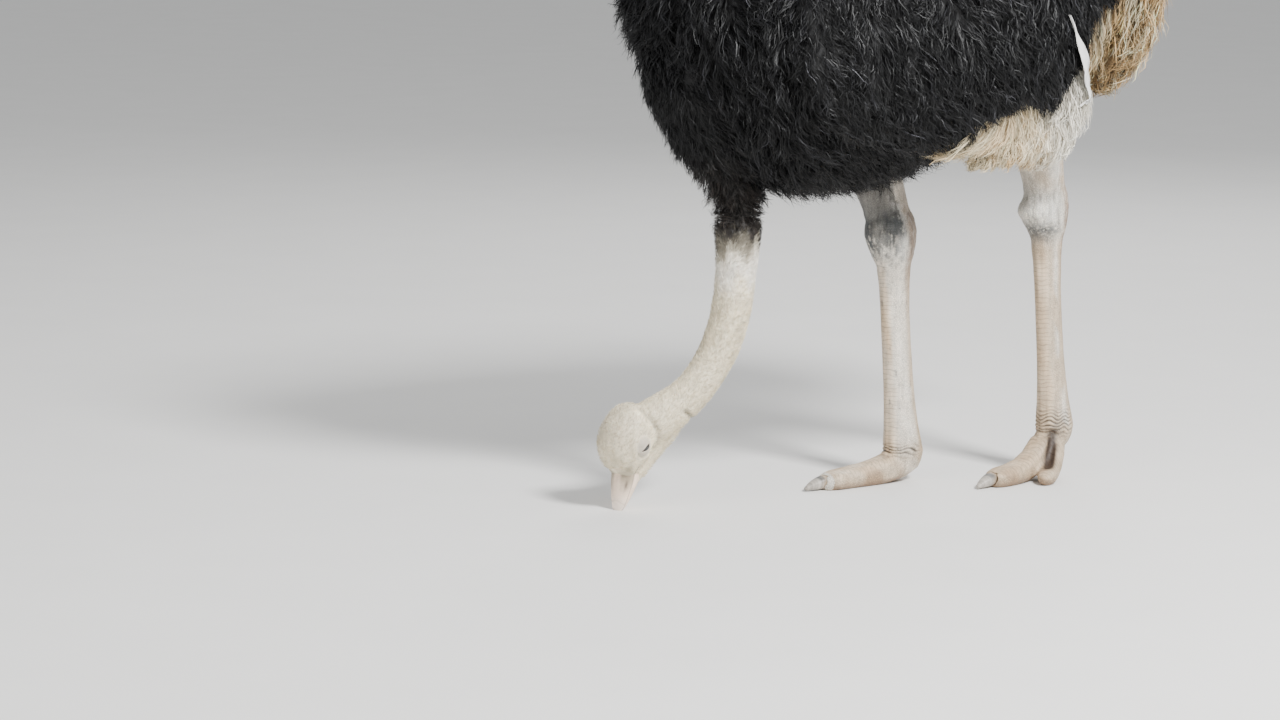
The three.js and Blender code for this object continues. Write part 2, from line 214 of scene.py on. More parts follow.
def ripple(points, wavelength, seed, upright=1.0):
    """Smooth noise of about -1 to 1, from seven waves in scattered directions.

    It is drawn out along the height where upright is under 1.
    """
    rng = np.random.default_rng(seed)
    points = points * [1, 1, upright]
    total = 0
    for _ in range(7):
        direction = unit(rng.normal(size=3)) * rng.uniform(0.7, 1.5)
        total = total + np.sin(points @ direction * (2 * math.pi / wavelength) + rng.uniform(0, 6.3))
    return total / 2.6


def clouds(points, wavelength, seed, upright=1.0):
    """Smooth noise of about 0 to 1."""
    return 0.5 + 0.5 * ripple(points, wavelength, seed, upright)


def groove(distance, width):
    """1 at no distance, and less away from it."""
    return np.exp(-((distance / width) ** 2))


def nearness(points, line, width):
    """1 on a line through the stations given, and less away from it."""
    away = np.full(len(points), np.inf)
    for station in through(line, np.linspace(0, 1, 30)):
        away = np.minimum(away, np.linalg.norm(points - station, axis=1))
    return groove(away, width)


def weighted(shares, corners):
    """The mean of three corners' values, by each corner's share."""
    return np.einsum("ij,ij...->i...", shares, corners)


def numbers(collection, attribute, width, kind=np.float32):
    """One attribute of a mesh's points, edges or faces, as an array."""
    found = np.empty(len(collection) * width, kind)
    collection.foreach_get(attribute, found)
    return found.reshape(-1, width) if width > 1 else found


# ---- meshes ----


def linked(name, data):
    """A new object in the scene."""
    made = bpy.data.objects.new(name, data)
    bpy.context.scene.collection.objects.link(made)
    return made


def put_points(mesh, points):
    mesh.vertices.foreach_set("co", np.ascontiguousarray(points, np.float32).ravel())


def above_floor(points, gap=0.0):
    points[:, 2] = np.maximum(points[:, 2], gap)
    return points


def mesh_from(name, points, faces):
    """A mesh from arrays: faces is a list of arrays, each with faces of one number of corners."""
    mesh = bpy.data.meshes.new(name)
    corners = np.concatenate([f.ravel() for f in faces]).astype(np.int32)
    counts = np.concatenate([np.full(len(f), f.shape[1]) for f in faces])
    mesh.vertices.add(len(points))
    put_points(mesh, points)
    mesh.loops.add(len(corners))
    mesh.loops.foreach_set("vertex_index", corners)
    mesh.polygons.add(len(counts))
    starts = np.concatenate([[0], np.cumsum(counts)[:-1]]).astype(np.int32)
    mesh.polygons.foreach_set("loop_start", starts)
    mesh.update(calc_edges=True)
    mesh.shade_smooth()
    return mesh


def piece_from(name, mesh, material, slot, *nodes):
    """Shows a mesh as a piece of the bird, in place of the CAD nodes named."""
    piece = linked(name, mesh)
    mesh.materials.clear()
    mesh.materials.append(material)
    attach(piece, "root")
    if nodes:
        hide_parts(*nodes)
    return piece


def add_values(mesh, name, values, kind="FLOAT"):
    """Keeps a number (FLOAT) or a colour with alpha (FLOAT_COLOR) for each point of a mesh."""
    layer = mesh.attributes.new(name, kind, "POINT")
    field = "color" if kind == "FLOAT_COLOR" else "value"
    layer.data.foreach_set(field, np.ascontiguousarray(values, np.float32).ravel())


def add_marks(mesh, colour):
    """Keeps the colour of each point for the material."""
    add_values(mesh, "marks", np.column_stack([colour, np.ones(len(colour))]), "FLOAT_COLOR")


def through(stations, shares):
    """Points of a smooth line through the stations, at shares of its length from 0 to 1."""
    stations = np.asarray(stations, float)
    padded = np.vstack([2 * stations[0] - stations[1], stations, 2 * stations[-1] - stations[-2]])
    place = np.clip(np.asarray(shares), 0, 1) * (len(stations) - 1)
    first = np.minimum(place.astype(int), len(stations) - 2)
    t = (place - first)[:, None]
    a, b, c, d = (padded[first + k] for k in range(4))
    return 0.5 * (2 * b + (c - a) * t + (2 * a - 5 * b + 4 * c - d) * t**2 + (3 * b - a - 3 * c + d) * t**3)


def ring_faces(rings, sides):
    """Quads between one ring of points and the next, and a cap at each end."""
    index = np.arange(rings * sides).reshape(rings, sides)
    after = np.roll(index, -1, axis=1)
    quads = np.stack([index[:-1], after[:-1], after[1:], index[1:]], -1).reshape(-1, 4)
    return [quads, np.array([index[0][::-1], index[-1]])]


def tube(stations, side, rings=40, sides=32, squareness=2.0):
    """Points and faces of an oval loft. A station is (place, half width, half height up, and down)."""
    shares = np.linspace(0, 1, rings)
    line = through([s[0] for s in stations], shares)
    halves = np.maximum(through([s[1:] for s in stations], shares), 1e-4)
    along = unit(np.gradient(line, axis=0))
    lift = unit(np.cross(along, side))
    across = np.cross(lift, along)
    angle = np.linspace(0, 2 * math.pi, sides, endpoint=False)
    power = 2 / squareness
    c = np.sign(np.cos(angle)) * np.abs(np.cos(angle)) ** power
    s = np.sign(np.sin(angle)) * np.abs(np.sin(angle)) ** power
    height = np.where(s > 0, halves[:, 1:2] * s, halves[:, 2:3] * s)
    aside = across[:, None] * (halves[:, :1] * c)[..., None]
    points = line[:, None] + aside + lift[:, None] * height[..., None]
    return points.reshape(-1, 3), ring_faces(rings, sides)


# ---- the skin ----


def flesh_blank():
    """The solids of flesh and the eyeballs in one mesh, swollen a little so that they touch."""
    bm = bmesh.new()
    for node in FLESH + ("eye_left", "eye_right"):
        bm.from_mesh(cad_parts[node].data)
    bmesh.ops.remove_doubles(bm, verts=bm.verts, dist=1e-6)
    bm.normal_update()
    for vertex in bm.verts:
        vertex.co += vertex.normal * TOUCHING
    stations = [(in_head(ahead, up), *halves) for ahead, up, *halves in MOUTH_PLUG]
    plug = mesh_from("plug", *tube(stations, HEAD_LEFT, rings=12, sides=24))
    bm.from_mesh(plug)
    mesh = bpy.data.meshes.new("blank")
    bm.to_mesh(mesh)
    bm.free()
    return mesh


def shaped(mesh, add_modifiers):
    """The mesh with modifiers applied."""
    holder = linked("holder", mesh)
    add_modifiers(holder)
    depsgraph = bpy.context.evaluated_depsgraph_get()
    result = bpy.data.meshes.new_from_object(holder.evaluated_get(depsgraph))
    bpy.data.objects.remove(holder)
    return result


def remeshed(mesh, size):
    """One closed skin around all that the mesh holds."""
    def fill(holder):
        modifier = holder.modifiers.new("Fill", "REMESH")
        modifier.mode = "VOXEL"
        modifier.voxel_size = size

    return shaped(mesh, fill)


def thinned(mesh, hidden, kept_share):
    """Fewer faces where hidden is 1, and all of them where it is 0."""
    def collapse(holder):
        group = holder.vertex_groups.new(name="hidden")
        group.add(np.flatnonzero(hidden).tolist(), 1.0, "REPLACE")
        modifier = holder.modifiers.new("Thin", "DECIMATE")
        modifier.vertex_group = "hidden"
        share = float(np.mean(hidden))
        modifier.ratio = 1 - share + share * kept_share

    return shaped(mesh, collapse)


def relaxed(points, edges, rounds, where=1.0):
    """Evens out small facets, without shrinking what is larger than them."""
    count = len(points)
    links = np.bincount(edges.ravel(), minlength=count)[:, None]
    for _ in range(rounds):
        for step in (0.5, -0.52):
            total = np.stack(
                [
                    np.bincount(edges[:, 0], points[edges[:, 1], k], count)
                    + np.bincount(edges[:, 1], points[edges[:, 0], k], count)
                    for k in range(3)
                ],
                1,
            )
            points = points + where * step * (total / links - points)
    return points


def spread(values, edges, rounds):
    """Each value becomes the mean of itself and its neighbours, over and over."""
    count = len(values)
    links = np.bincount(edges.ravel(), minlength=count) + 1
    for _ in range(rounds):
        total = np.bincount(edges[:, 0], values[edges[:, 1]], count)
        total += np.bincount(edges[:, 1], values[edges[:, 0]], count)
        values = (total + values) / links
    return values


def arrays_of(mesh):
    """A mesh's points and edges."""
    points = numbers(mesh.vertices, "co", 3).astype(float)
    edges = numbers(mesh.edges, "vertices", 2, np.int32)
    return points, edges


def normals_of(mesh):
    return numbers(mesh.vertices, "normal", 3).astype(float)


@functools.lru_cache
def solids_tree():
    """Finds the nearest solid of flesh: a tree of all their faces, and each face's node."""
    points, faces, owner = [], [], []
    for number, node in enumerate(FLESH):
        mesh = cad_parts[node].data
        mesh.calc_loop_triangles()
        start = len(points)
        points.extend(tuple(v.co) for v in mesh.vertices)
        for triangle in mesh.loop_triangles:
            faces.append([start + corner for corner in triangle.vertices])
            owner.append(number)
    return BVHTree.FromPolygons(points, faces), np.array(owner)


def nearest_node(points):
    """Which of the nodes of flesh lies nearest to each point."""
    tree, owner = solids_tree()
    return np.array([owner[tree.find_nearest(p)[2]] for p in points.tolist()])


def coat_room(points, normals, edges, owner, sizes):
    """How deep under the solids' surface the skin lies at each point."""
    depth = np.full(len(points), sizes.bare_coat)
    for node, share in COAT_DEPTH.items():
        depth[owner == FLESH.index(node)] = share * sizes.coat_depth
    for node in FUZZY:
        depth[owner == FLESH.index(node)] = sizes.neck_coat
    depth = spread(depth, edges, 10)
    tree, _ = solids_tree()
    for i in np.flatnonzero(depth > 0.008):
        start = Vector(points[i] - normals[i] * 0.002)
        hit = tree.ray_cast(start, Vector(-normals[i]), 0.2)
        if hit[3] is not None and hit[1].dot(Vector(-normals[i])) > 0:
            depth[i] = min(depth[i], 0.36 * hit[3])
    return spread(depth, edges, 14)


def lid_frame(left):
    """The direction that an eye's opening faces, and those along and across its slit."""
    facing = unit(HEAD_LEFT * left + HEAD_AHEAD * LID_PLACE[0] + HEAD_UP * LID_PLACE[1])
    ahead = unit(HEAD_AHEAD - facing * (HEAD_AHEAD @ facing))
    up = unit(HEAD_UP - facing * (HEAD_UP @ facing) - ahead * (HEAD_UP @ ahead))
    along = ahead * math.cos(LID_SLANT) + up * math.sin(LID_SLANT)
    across = up * math.cos(LID_SLANT) - ahead * math.sin(LID_SLANT)
    return facing, along, across


def opened_eye(points, eye, left, sizes):
    """Lids over the eyeball, with the skin between them sunk into it."""
    out, ahead, up = lid_frame(left)
    away = points - eye
    distance = np.linalg.norm(away, axis=1)
    near = np.flatnonzero(distance < 0.045)
    direction = unit(away[near])
    facing = direction @ out
    a = np.arctan2(direction @ ahead, facing)
    b = np.arctan2(direction @ up, facing)
    bow = 1 - np.abs(a / sizes.lid_length) ** 1.8
    lids = np.where(b > 0, b / sizes.lid_upper, -b / sizes.lid_lower)
    edge = lids - bow
    outside = eased(edge, -0.05, 0.12)
    steps = np.abs(b) - np.where(b > 0, sizes.lid_upper, sizes.lid_lower) * np.maximum(bow, 0)
    rim = 0.0011 * groove(steps - 0.06, 0.05)
    crease = sum(-0.0006 * groove(steps - k, 0.05) for k in (0.24, 0.42))
    fade = eased(np.arccos(np.clip(facing, -1, 1)), 1.25, 1.60)
    lid = EYE_SIZE + 0.0012 + rim + crease * (1 - fade) - fade * 0.012
    raised = np.maximum(distance[near], lid)
    radius = outside * raised + (1 - outside) * (EYE_SIZE - 0.0055)
    points[near] = eye + direction * radius[:, None]
    return points


def refined(mesh, chosen):
    """Halves the faces whose points are all chosen."""
    bm = bmesh.new()
    bm.from_mesh(mesh)
    bm.verts.ensure_lookup_table()
    picked = [f for f in bm.faces if all(chosen[v.index] for v in f.verts)]
    edges = list({e for f in picked for e in f.edges})
    bmesh.ops.subdivide_edges(bm, edges=edges, cuts=1, use_grid_fill=True, smooth=0.0)
    bm.to_mesh(mesh)
    bm.free()
    return mesh


def unwrapped(mesh, name):
    """Lays the mesh out flat in a map of its own."""
    holder = linked("holder", mesh)
    mesh.uv_layers.new(name=name)
    bpy.ops.object.select_all(action="DESELECT")
    holder.select_set(True)
    bpy.context.view_layer.objects.active = holder
    bpy.ops.object.mode_set(mode="EDIT")
    bpy.ops.mesh.select_all(action="SELECT")
    bpy.ops.uv.smart_project(angle_limit=math.radians(66), island_margin=0.001)
    bpy.ops.object.mode_set(mode="OBJECT")
    bpy.data.objects.remove(holder)
    return mesh


@functools.lru_cache
def leg_axis(name):
    """Heights up a leg, and the middle of its section at each."""
    nodes = [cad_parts[f"{part}_{name}"].data for part in ("thigh", "hock", "shank")]
    corners = np.concatenate([numbers(mesh.vertices, "co", 3) for mesh in nodes])
    near = [np.abs(corners[:, 2] - level) < 0.035 for level in np.arange(0.12, 0.82, 0.04)]
    return np.array([corners[band].mean(axis=0) for band in near if band.any()])


def leg_middle(name, heights):
    """The middle of a leg's section at each height."""
    axis = leg_axis(name)
    return np.stack([np.interp(heights, axis[:, 2], axis[:, k]) for k in (0, 1)], 1)


def around_leg(points, name):
    """From 1 on a leg's front to -1 on its back, and the same from its outer to its inner side."""
    away = points[:, :2] - leg_middle(name, points[:, 2])
    away = away / np.maximum(np.linalg.norm(away, axis=1, keepdims=True), 1e-6)
    front = toe_way(name)[:2]
    outer = np.array([-front[1], front[0]]) * SIDES[name]
    return away @ front, away @ outer


def legs_of(points):
    """For each leg: its name, and which of the points are on it."""
    low = (points[:, 2] < 0.84) & (points[:, 1] > -0.12)
    for name, other in zip(SIDES, reversed(SIDES)):
        here = np.linalg.norm(points[:, :2] - leg_middle(name, points[:, 2]), axis=1)
        there = np.linalg.norm(points[:, :2] - leg_middle(other, points[:, 2]), axis=1)
        yield name, low & (here < there)


def head_folds(points):
    """Folds of the head and neck: how far each point sinks, and how much painted shade darkens it."""
    ahead, up, left = head_distances(points)
    side = np.abs(left)
    gape = groove(up - gape_up(ahead), 0.0016) * eased(ahead, 0.024, 0.034) * (side > 0.01)
    jaw = groove(ahead + 0.097 + 0.25 * (up + 0.10), 0.0045) * eased(-up, 0.058, 0.078) * (up > -0.16)
    ear = groove(ahead + 0.054, 0.006) * groove(up + 0.020, 0.0045) * (side > 0.02)
    flat = np.stack([ahead, up], 1)
    cheek = nearness(flat, CHEEK, 0.0055) * (side > 0.018)
    hollow = nearness(flat + [0.004, 0.011], CHEEK, 0.0065) * (side > 0.018)
    lore = groove(up - 0.006 + 0.35 * (ahead - 0.045), 0.006) * groove(ahead - 0.040, 0.016) * (side > 0.012)
    rings = ripple(points * [0.6, 0.6, 1.8], 0.018, 41) * eased(-ahead, 0.10, 0.20)
    sunk = 0.0016 * gape + 0.0048 * jaw + 0.0020 * ear - 0.0018 * cheek + 0.0012 * hollow
    collar = eased(ahead, 0.050, 0.066) * (up > gape_up(ahead))
    sunk = sunk + 0.0022 * lore + 0.0006 * rings + 0.0022 * collar
    # Painted shade in the gape, the jaw's crease, the ear, the hollow, the lore and the neck's rings; a
    # painted highlight along the cheek's ridge.
    shade = 0.75 * gape + 0.62 * jaw + 0.30 * ear - 0.30 * cheek + 0.30 * hollow + 0.22 * lore + 0.06 * rings
    return sunk, shade


def leg_folds(points):
    """Folds of the legs: how far each point sinks, and how much painted shade darkens it."""
    z = points[:, 2]
    sunk = np.zeros(len(points))
    shade = np.zeros(len(points))
    for name, here in legs_of(points):
        front, outer = around_leg(points, name)
        leg = LEGS[name]
        bands = groove(z - leg["ankle"], 0.012 + 0.016 * leg["folds"]) * eased(front, -0.75, -0.15)
        lines = (0.5 + 0.5 * np.cos(z * 2 * math.pi / 0.0082 + 2.4 * ripple(points, 0.03, 33))) ** 2
        rise = z - leg["hock"]
        wrinkle = np.clip(ripple(points, 0.0085, 31, 0.16), 0, 2) * groove(rise, 0.075)
        creases = np.clip(ripple(points, 0.012, 34, 2.2), 0, 2) * groove(rise, 0.050)
        knob = groove(rise - 0.004, 0.019) * eased(front, 0.55, 0.95)
        ball = groove(rise + 0.018, 0.022) * groove(front - 0.35, 0.35) * eased(outer, 0.1, 0.5)
        waist = groove(rise + 0.052, 0.018) * eased(front, 0.2, 0.7)
        form = leg["folds"] * (-0.0085 * knob - 0.0040 * ball + 0.0035 * waist)
        sunk += here * (0.0030 * bands * lines + 0.0011 * wrinkle + 0.0005 * creases + form)
        # Painted shade in the folds, wrinkles and creases and under the knob; a painted highlight on the
        # knob.
        dark = bands * lines + 0.26 * wrinkle + 0.10 * creases
        shade += here * (dark + leg["folds"] * (0.45 * waist - 0.18 * knob))
    return sunk + 0.006 * nearness(points, TOE_GAP, 0.009), shade


def folds(points):
    """All folds of the skin: how far each point sinks, and how much painted shade darkens it."""
    neck = on_neck(points)
    return [head * neck + leg for head, leg in zip(head_folds(points), leg_folds(points))]


def on_neck(points):
    """Which points are on the head or the bare part of the neck."""
    return (points[:, 1] < -0.2) & (points[:, 2] < 0.80) & (np.abs(points[:, 0]) < 0.2)


def on_head(points):
    """Which points are on the head, and not yet on the neck."""
    ahead, up, left = head_distances(points)
    return (ahead > -0.11) & (np.abs(left) < 0.09) & (np.abs(up) < 0.13)


def plate_rows(points, normals):
    """Counts the plates down each shank and out along each toe, and says where they are."""
    rows = np.zeros(len(points))
    plates = np.zeros(len(points))
    z = points[:, 2]
    for name, here in legs_of(points):
        front, _ = around_leg(points, name)
        toes = z < LEGS[name]["toes_below"]
        reach = (points[:, :2] - leg_middle(name, z)) @ toe_way(name)[:2]
        rows = np.where(here, np.where(toes, reach / PLATE_OUT, z / PLATE_DOWN), rows)
        rows = rows + here * 0.22 * ripple(points, 0.030, 35)
        shank = eased(front, 0.62, 0.86) * eased(0.50 - z, 0.0, 0.03)
        toe = eased(normals[:, 2], 0.15, 0.55) * eased(reach, 0.01, 0.03)
        plates = np.where(here, np.where(toes, toe, shank), plates)
    return rows, plates


def skin_mesh(sizes):
    """One skin over all the flesh: melted together, sunk by the coats' depth, refined, then folded."""
    mesh = remeshed(flesh_blank(), sizes.skin_grain)
    points, edges = arrays_of(mesh)
    points = relaxed(points, edges, VOXEL_SMOOTHING)
    put_points(mesh, points)
    hidden = (points[:, 2] > HIDDEN_ABOVE) & ~on_neck(points)
    mesh = thinned(mesh, hidden, HIDDEN_KEPT)
    points, edges = arrays_of(mesh)
    normals = normals_of(mesh)
    owner = nearest_node(points)
    depth = coat_room(points, normals, edges, owner, sizes)
    points = points - normals * depth[:, None]
    put_points(mesh, above_floor(points, OFF_FLOOR))
    add_values(mesh, "depth", depth)
    mesh = unwrapped(mesh, "Unwrap")
    feet = (points[:, 2] < FEET_BELOW) & ~on_neck(points)
    mesh = refined(mesh, on_head(points) | feet)
    eyes = [middle_of(f"eye_{name}") for name in SIDES]
    for _ in range(2):
        points, _ = arrays_of(mesh)
        away = np.min([np.linalg.norm(points - eye, axis=1) for eye in eyes], axis=0)
        outside = np.abs(head_distances(points)[2]) > 0.035
        mesh = refined(mesh, (away < LIDS_REACH) & outside)
    points, edges = arrays_of(mesh)
    points = relaxed(points, edges, 4, on_head(points)[:, None].astype(float))
    put_points(mesh, points)
    mesh.update()
    points = points - normals_of(mesh) * folds(points)[0][:, None]
    for name, left in SIDES.items():
        points = opened_eye(points, middle_of(f"eye_{name}"), left, sizes)
    put_points(mesh, above_floor(points, OFF_FLOOR))
    mesh.shade_smooth()
    mesh.update()
    rows, plates = plate_rows(points, normals_of(mesh))
    add_values(mesh, "rows", rows)
    add_values(mesh, "plates", plates)
    add_values(mesh, "leg", ~on_neck(points) & (points[:, 2] <= LEGS_BELOW))
    return mesh


# ---- markings: the skin and the coats over it share them ----


def blended(colour, share, other):
    """Part of the way from a colour to another one."""
    share = np.clip(share, 0, 1)[:, None]
    return colour * (1 - share) + np.array(other) * share


def layered(colour, *layers):
    """Lays colours over one another: each layer is a share and its colour."""
    for share, over in layers:
        colour = blended(colour, share, over)
    return colour


def all_of(points, colour):
    """The same colour at each point."""
    return np.tile(np.array(colour), (len(points), 1))


def leg_markings(points, colours):
    """Pale legs, tan edges, grey hocks, painted shade and highlights, and painted shade in the toe gap."""
    z = points[:, 2]
    colour = all_of(points, colours.leg_skin)
    cloud = clouds(points, 0.045, 12, 0.4)
    fine = clouds(points, 0.010, 13, 0.30)
    crack = clouds(points, 0.006, 14, 0.8)
    for name, here in legs_of(points):
        leg = LEGS[name]
        front, _ = around_leg(points, name)
        rise = z - leg["hock"]
        shank = eased(-rise, 0.03, 0.09) * here
        # Where streak is high the shank stays pale: a painted highlight down the middle of its sides, in
        # patches.
        streak = groove(front - 0.05, 0.30) * eased(cloud, 0.25, 0.6)
        front_edge = eased(front, 0.70, 0.93) * (0.50 + 0.4 * cloud)
        rear_edge = eased(-front, 0.35, 0.80) * (0.45 + 0.5 * cloud)
        # The grey hock is partly grey skin and partly painted shade on the hock's front.
        height, reach, dark = leg["grey"]
        grey = groove(rise - height, reach) * eased(front, -0.60, 0.0)
        grey = eased(grey + 0.45 * (fine - 0.5) + 0.2 * (crack - 0.5), 0.28, 0.62)
        # Painted shade below the hock's knob, and a little above it.
        around = groove(rise + 0.036, 0.017) + 0.3 * groove(rise - 0.046, 0.020)
        around = around * eased(front, -0.35, 0.35) * eased(fine + crack, 0.35, 1.0)
        # The pale knob is partly pale skin and partly a painted highlight.
        height, aside, reach = leg["pale"]
        pale = groove(rise - height, 0.022) * groove(front - aside, reach)
        brown = groove(rise + 0.005, 0.11) * eased(-front, 0.15, 0.62) * (0.6 + 0.6 * fine)
        thigh = eased(rise, 0.03, 0.08) * leg["tan_thigh"] * (0.5 + cloud)
        streaks = groove(rise - 0.06, 0.08) * eased(fine, 0.62, 0.85) * groove(front + 0.3, 0.45)
        toes = eased(0.10 - z, -0.02, 0.05) * (0.30 + 0.4 * cloud)
        # Painted shade on the soles, by the floor.
        sole_shade = eased(0.016 - z, -0.006, 0.012)
        colour = layered(
            colour,
            (shank * leg["tan_shank"] * (1 - 0.85 * streak), colours.leg_edge),
            (shank * front_edge, colours.leg_edge),
            (shank * rear_edge, colours.leg_edge),
            (here * grey * dark * (0.8 + 0.3 * cloud), colours.hock),
            (here * around * leg["knob_shade"], colours.hock),
            (here * pale * (0.55 + 0.6 * fine), colours.neck_ring),
            (here * brown * 0.9, colours.hock_edge),
            (here * thigh, colours.leg_edge),
            (here * streaks * 0.6, colours.neck_ring),
            (here * toes, colours.leg_edge),
            (here * sole_shade * 0.6, colours.hock_edge),
        )
        long_streak = 0.085 * ripple(points, 0.012, 15, 0.07) + 0.05 * (crack - 0.5)
        colour = colour * (1 + here * long_streak)[:, None]
        # Browner in patches towards the floor.
        low_brown_patches = eased(0.055 - z, -0.01, 0.04) * eased(cloud, 0.4, 0.8)
        colour = blended(colour, here * low_brown_patches * 0.4, colours.hock_edge)
    # Painted shade in the gap between the left foot's toes.
    return blended(colour, nearness(points, TOE_GAP, 0.0125) * 1.7, colours.gap)


def markings(points, colours):
    """The colour of the coat, or of bare skin, at each place on the bird."""
    y, z = points[:, 1], points[:, 2]
    ahead, up, left = head_distances(points)
    neck = on_neck(points).astype(float)
    wobble = ripple(points, 0.06, 3) * 0.013 + ripple(points, 0.020, 4, 0.3) * 0.007
    ring = groove(z - 0.500 + wobble, 0.036)
    crown = eased(up, 0.01, 0.05) * eased(-ahead, -0.04, 0.02) * eased(ahead, -0.12, -0.06)
    # The lore and the lids are partly darker skin and partly painted shade around the eye.
    lore = groove(up + 0.004, 0.020) * eased(ahead, 0.030, 0.055) * (np.abs(left) > 0.006)
    from_eye = np.hypot(ahead - EYE_AHEAD, up - EYE_UP)
    lid = eased(0.026 - from_eye, 0.0, 0.010) * (np.abs(left) > 0.03)
    colour = layered(
        leg_markings(points, colours),
        (neck, colours.neck_skin),
        (neck * ring * 0.8, colours.neck_ring),
        (neck * crown * 0.22, colours.crown),
        (neck * lore * 0.55, colours.lore),
        (neck * lid * 0.6, colours.lid),
    )
    rear = eased(y + 0.36 - 0.3 * (0.6 - z), -0.01, 0.03)
    spill = 0.070 * rear * eased(ripple(points, 0.022, 6, 0.2), -0.3, 0.9)
    black = np.where(neck > 0, eased(z + wobble + spill, 0.508, 0.584), eased(z, 0.675, 0.715))
    for name, here in legs_of(points):
        from_axis = np.linalg.norm(points[:, :2] - leg_middle(name, z), axis=1)
        black = black * (1 - here * eased(0.12 - from_axis, 0.0, 0.02))
    brownish = neck * eased(0.80 - z, 0.0, 0.16) * (0.6 + 0.4 * eased(wobble, -0.01, 0.02))
    dark = blended(all_of(points, colours.black), brownish, colours.neck_black)
    return blended(colour, black, dark)


def plume_markings(points, colours):
    """White at the rear of the wing, creamier towards the thigh, and tan streaks, partly painted shade."""
    y, z = points[:, 1], points[:, 2]
    cream = eased(0.30 - y, -0.02, 0.12)
    thigh = eased(0.81 - z, 0.0, 0.04) * eased(y, 0.12, 0.17) * eased(0.29 - y, 0.0, 0.03)
    # The tan streaks, most over the thigh, are partly tan down and partly painted shade between the clumps.
    streak = eased(ripple(points, 0.030, 21, 0.3), 0.35 - 0.9 * thigh, 1.2)
    streak = streak * np.maximum(cream, thigh) * (0.5 + 0.4 * thigh)
    return layered(all_of(points, colours.white), (cream * 0.9, colours.cream), (streak, colours.tan))


def tail_markings(points, colours):
    """Tan plumes in paler and darker clumps."""
    clump = clouds(points, 0.045, 22, 0.35)
    pale = eased(clump, 0.45, 0.9)
    # The paler clumps are partly a painted highlight, and the darker ones painted shade between the plumes.
    shade = eased(0.35 - clump, -0.05, 0.30) * 0.7
    return layered(all_of(points, colours.tan), (pale, colours.cream), (shade, colours.tail_painted_shade))


def scattered(points):
    """The points moved a little up or down, so that neighbouring tufts take unlike markings."""
    return points + np.random.default_rng(61).normal(0, 0.009, (len(points), 1)) * DOWN


def shaded(colour, shade):
    """A colour made darker by the folds' painted shade, and lighter by their painted highlight."""
    return np.clip(colour * (1 - np.clip(shade, -0.3, 0.85))[:, None], 0, 1)


# ---- shader nodes ----


class Nodes:
    """Adds and links the nodes of one material or group."""

    def __init__(self, tree):
        self.tree = tree
        tree.nodes.clear()

    def add(self, kind, inputs=None, **settings):
        node = self.tree.nodes.new(kind)
        for name, value in settings.items():
            setattr(node, name, value)
        self.fill(node, inputs or {})
        return node

    def fill(self, node, inputs):
        """Links each input to a socket, or sets it to a value."""
        for name, value in inputs.items():
            if isinstance(value, bpy.types.NodeSocket):
                self.tree.links.new(value, node.inputs[name])
            else:
                node.inputs[name].default_value = value

    def math(self, operation, a, b=0.0):
        return self.add("ShaderNodeMath", {0: a, 1: b}, operation=operation).outputs[0]

    def scaled(self, value, gain, offset):
        """The value times the gain, plus the offset."""
        return self.math("ADD", self.math("MULTIPLY", value, gain), offset)

    def mix(self, share, a, b, blend="MIX"):
        """Mixes two colours."""
        inputs = {0: share, 6: a, 7: b}
        return self.add("ShaderNodeMix", inputs, data_type="RGBA", blend_type=blend).outputs[2]

    def mix_values(self, share, a, b):
        """Mixes two numbers."""
        return self.add("ShaderNodeMix", {0: share, 2: a, 3: b}, data_type="FLOAT").outputs[0]

    def ramp(self, value, low, high):
        inputs = {0: value, 1: low, 2: high}
        return self.add("ShaderNodeMapRange", inputs, interpolation_type="SMOOTHSTEP").outputs[0]

    def attribute(self, name, output="Fac"):
        return self.add("ShaderNodeAttribute", attribute_name=name).outputs[output]

    def stretched(self, place, scale):
        return self.add("ShaderNodeMapping", {"Vector": place, "Scale": scale}).outputs[0]

    def place(self, scale=(1.0, 1.0, 1.0)):
        return self.stretched(self.add("ShaderNodeTexCoord").outputs["Object"], scale)

    def noise(self, vector, scale, detail=2.0, roughness=0.5):
        inputs = {"Vector": vector, "Scale": scale, "Detail": detail, "Roughness": roughness}
        return self.add("ShaderNodeTexNoise", inputs).outputs["Fac"]

    def bump(self, height, distance, strength):
        inputs = {"Height": height, "Distance": distance, "Strength": strength}
        return self.add("ShaderNodeBump", inputs).outputs[0]

    def group(self, make, inputs):
        """A node group that materials share."""
        return self.add("ShaderNodeGroup", inputs, node_tree=effect(make)).outputs


@functools.lru_cache
def effect(make):
    """The node group that a function makes, made once."""
    return make()


def rgba(colour):
    """A colour with full alpha."""
    return (*colour, 1.0)


def material(name):
    """A new material, its nodes and its shader."""
    made = bpy.data.materials.new(name)
    made.use_nodes = True
    nodes = Nodes(made.node_tree)
    shader = nodes.add("ShaderNodeBsdfPrincipled")
    nodes.add("ShaderNodeOutputMaterial", {0: shader.outputs[0]})
    return made, nodes, shader


def new_group(name, inputs, outputs):
    """A node group with the sockets named, its nodes, what it is given and where its results go."""
    group = bpy.data.node_groups.new(name, "ShaderNodeTree")
    for way, sockets in (("INPUT", inputs), ("OUTPUT", outputs)):
        for label, kind in sockets.items():
            group.interface.new_socket(label, in_out=way, socket_type=f"NodeSocket{kind}")
    nodes = Nodes(group)
    return group, nodes, nodes.add("NodeGroupInput").outputs, nodes.add("NodeGroupOutput")


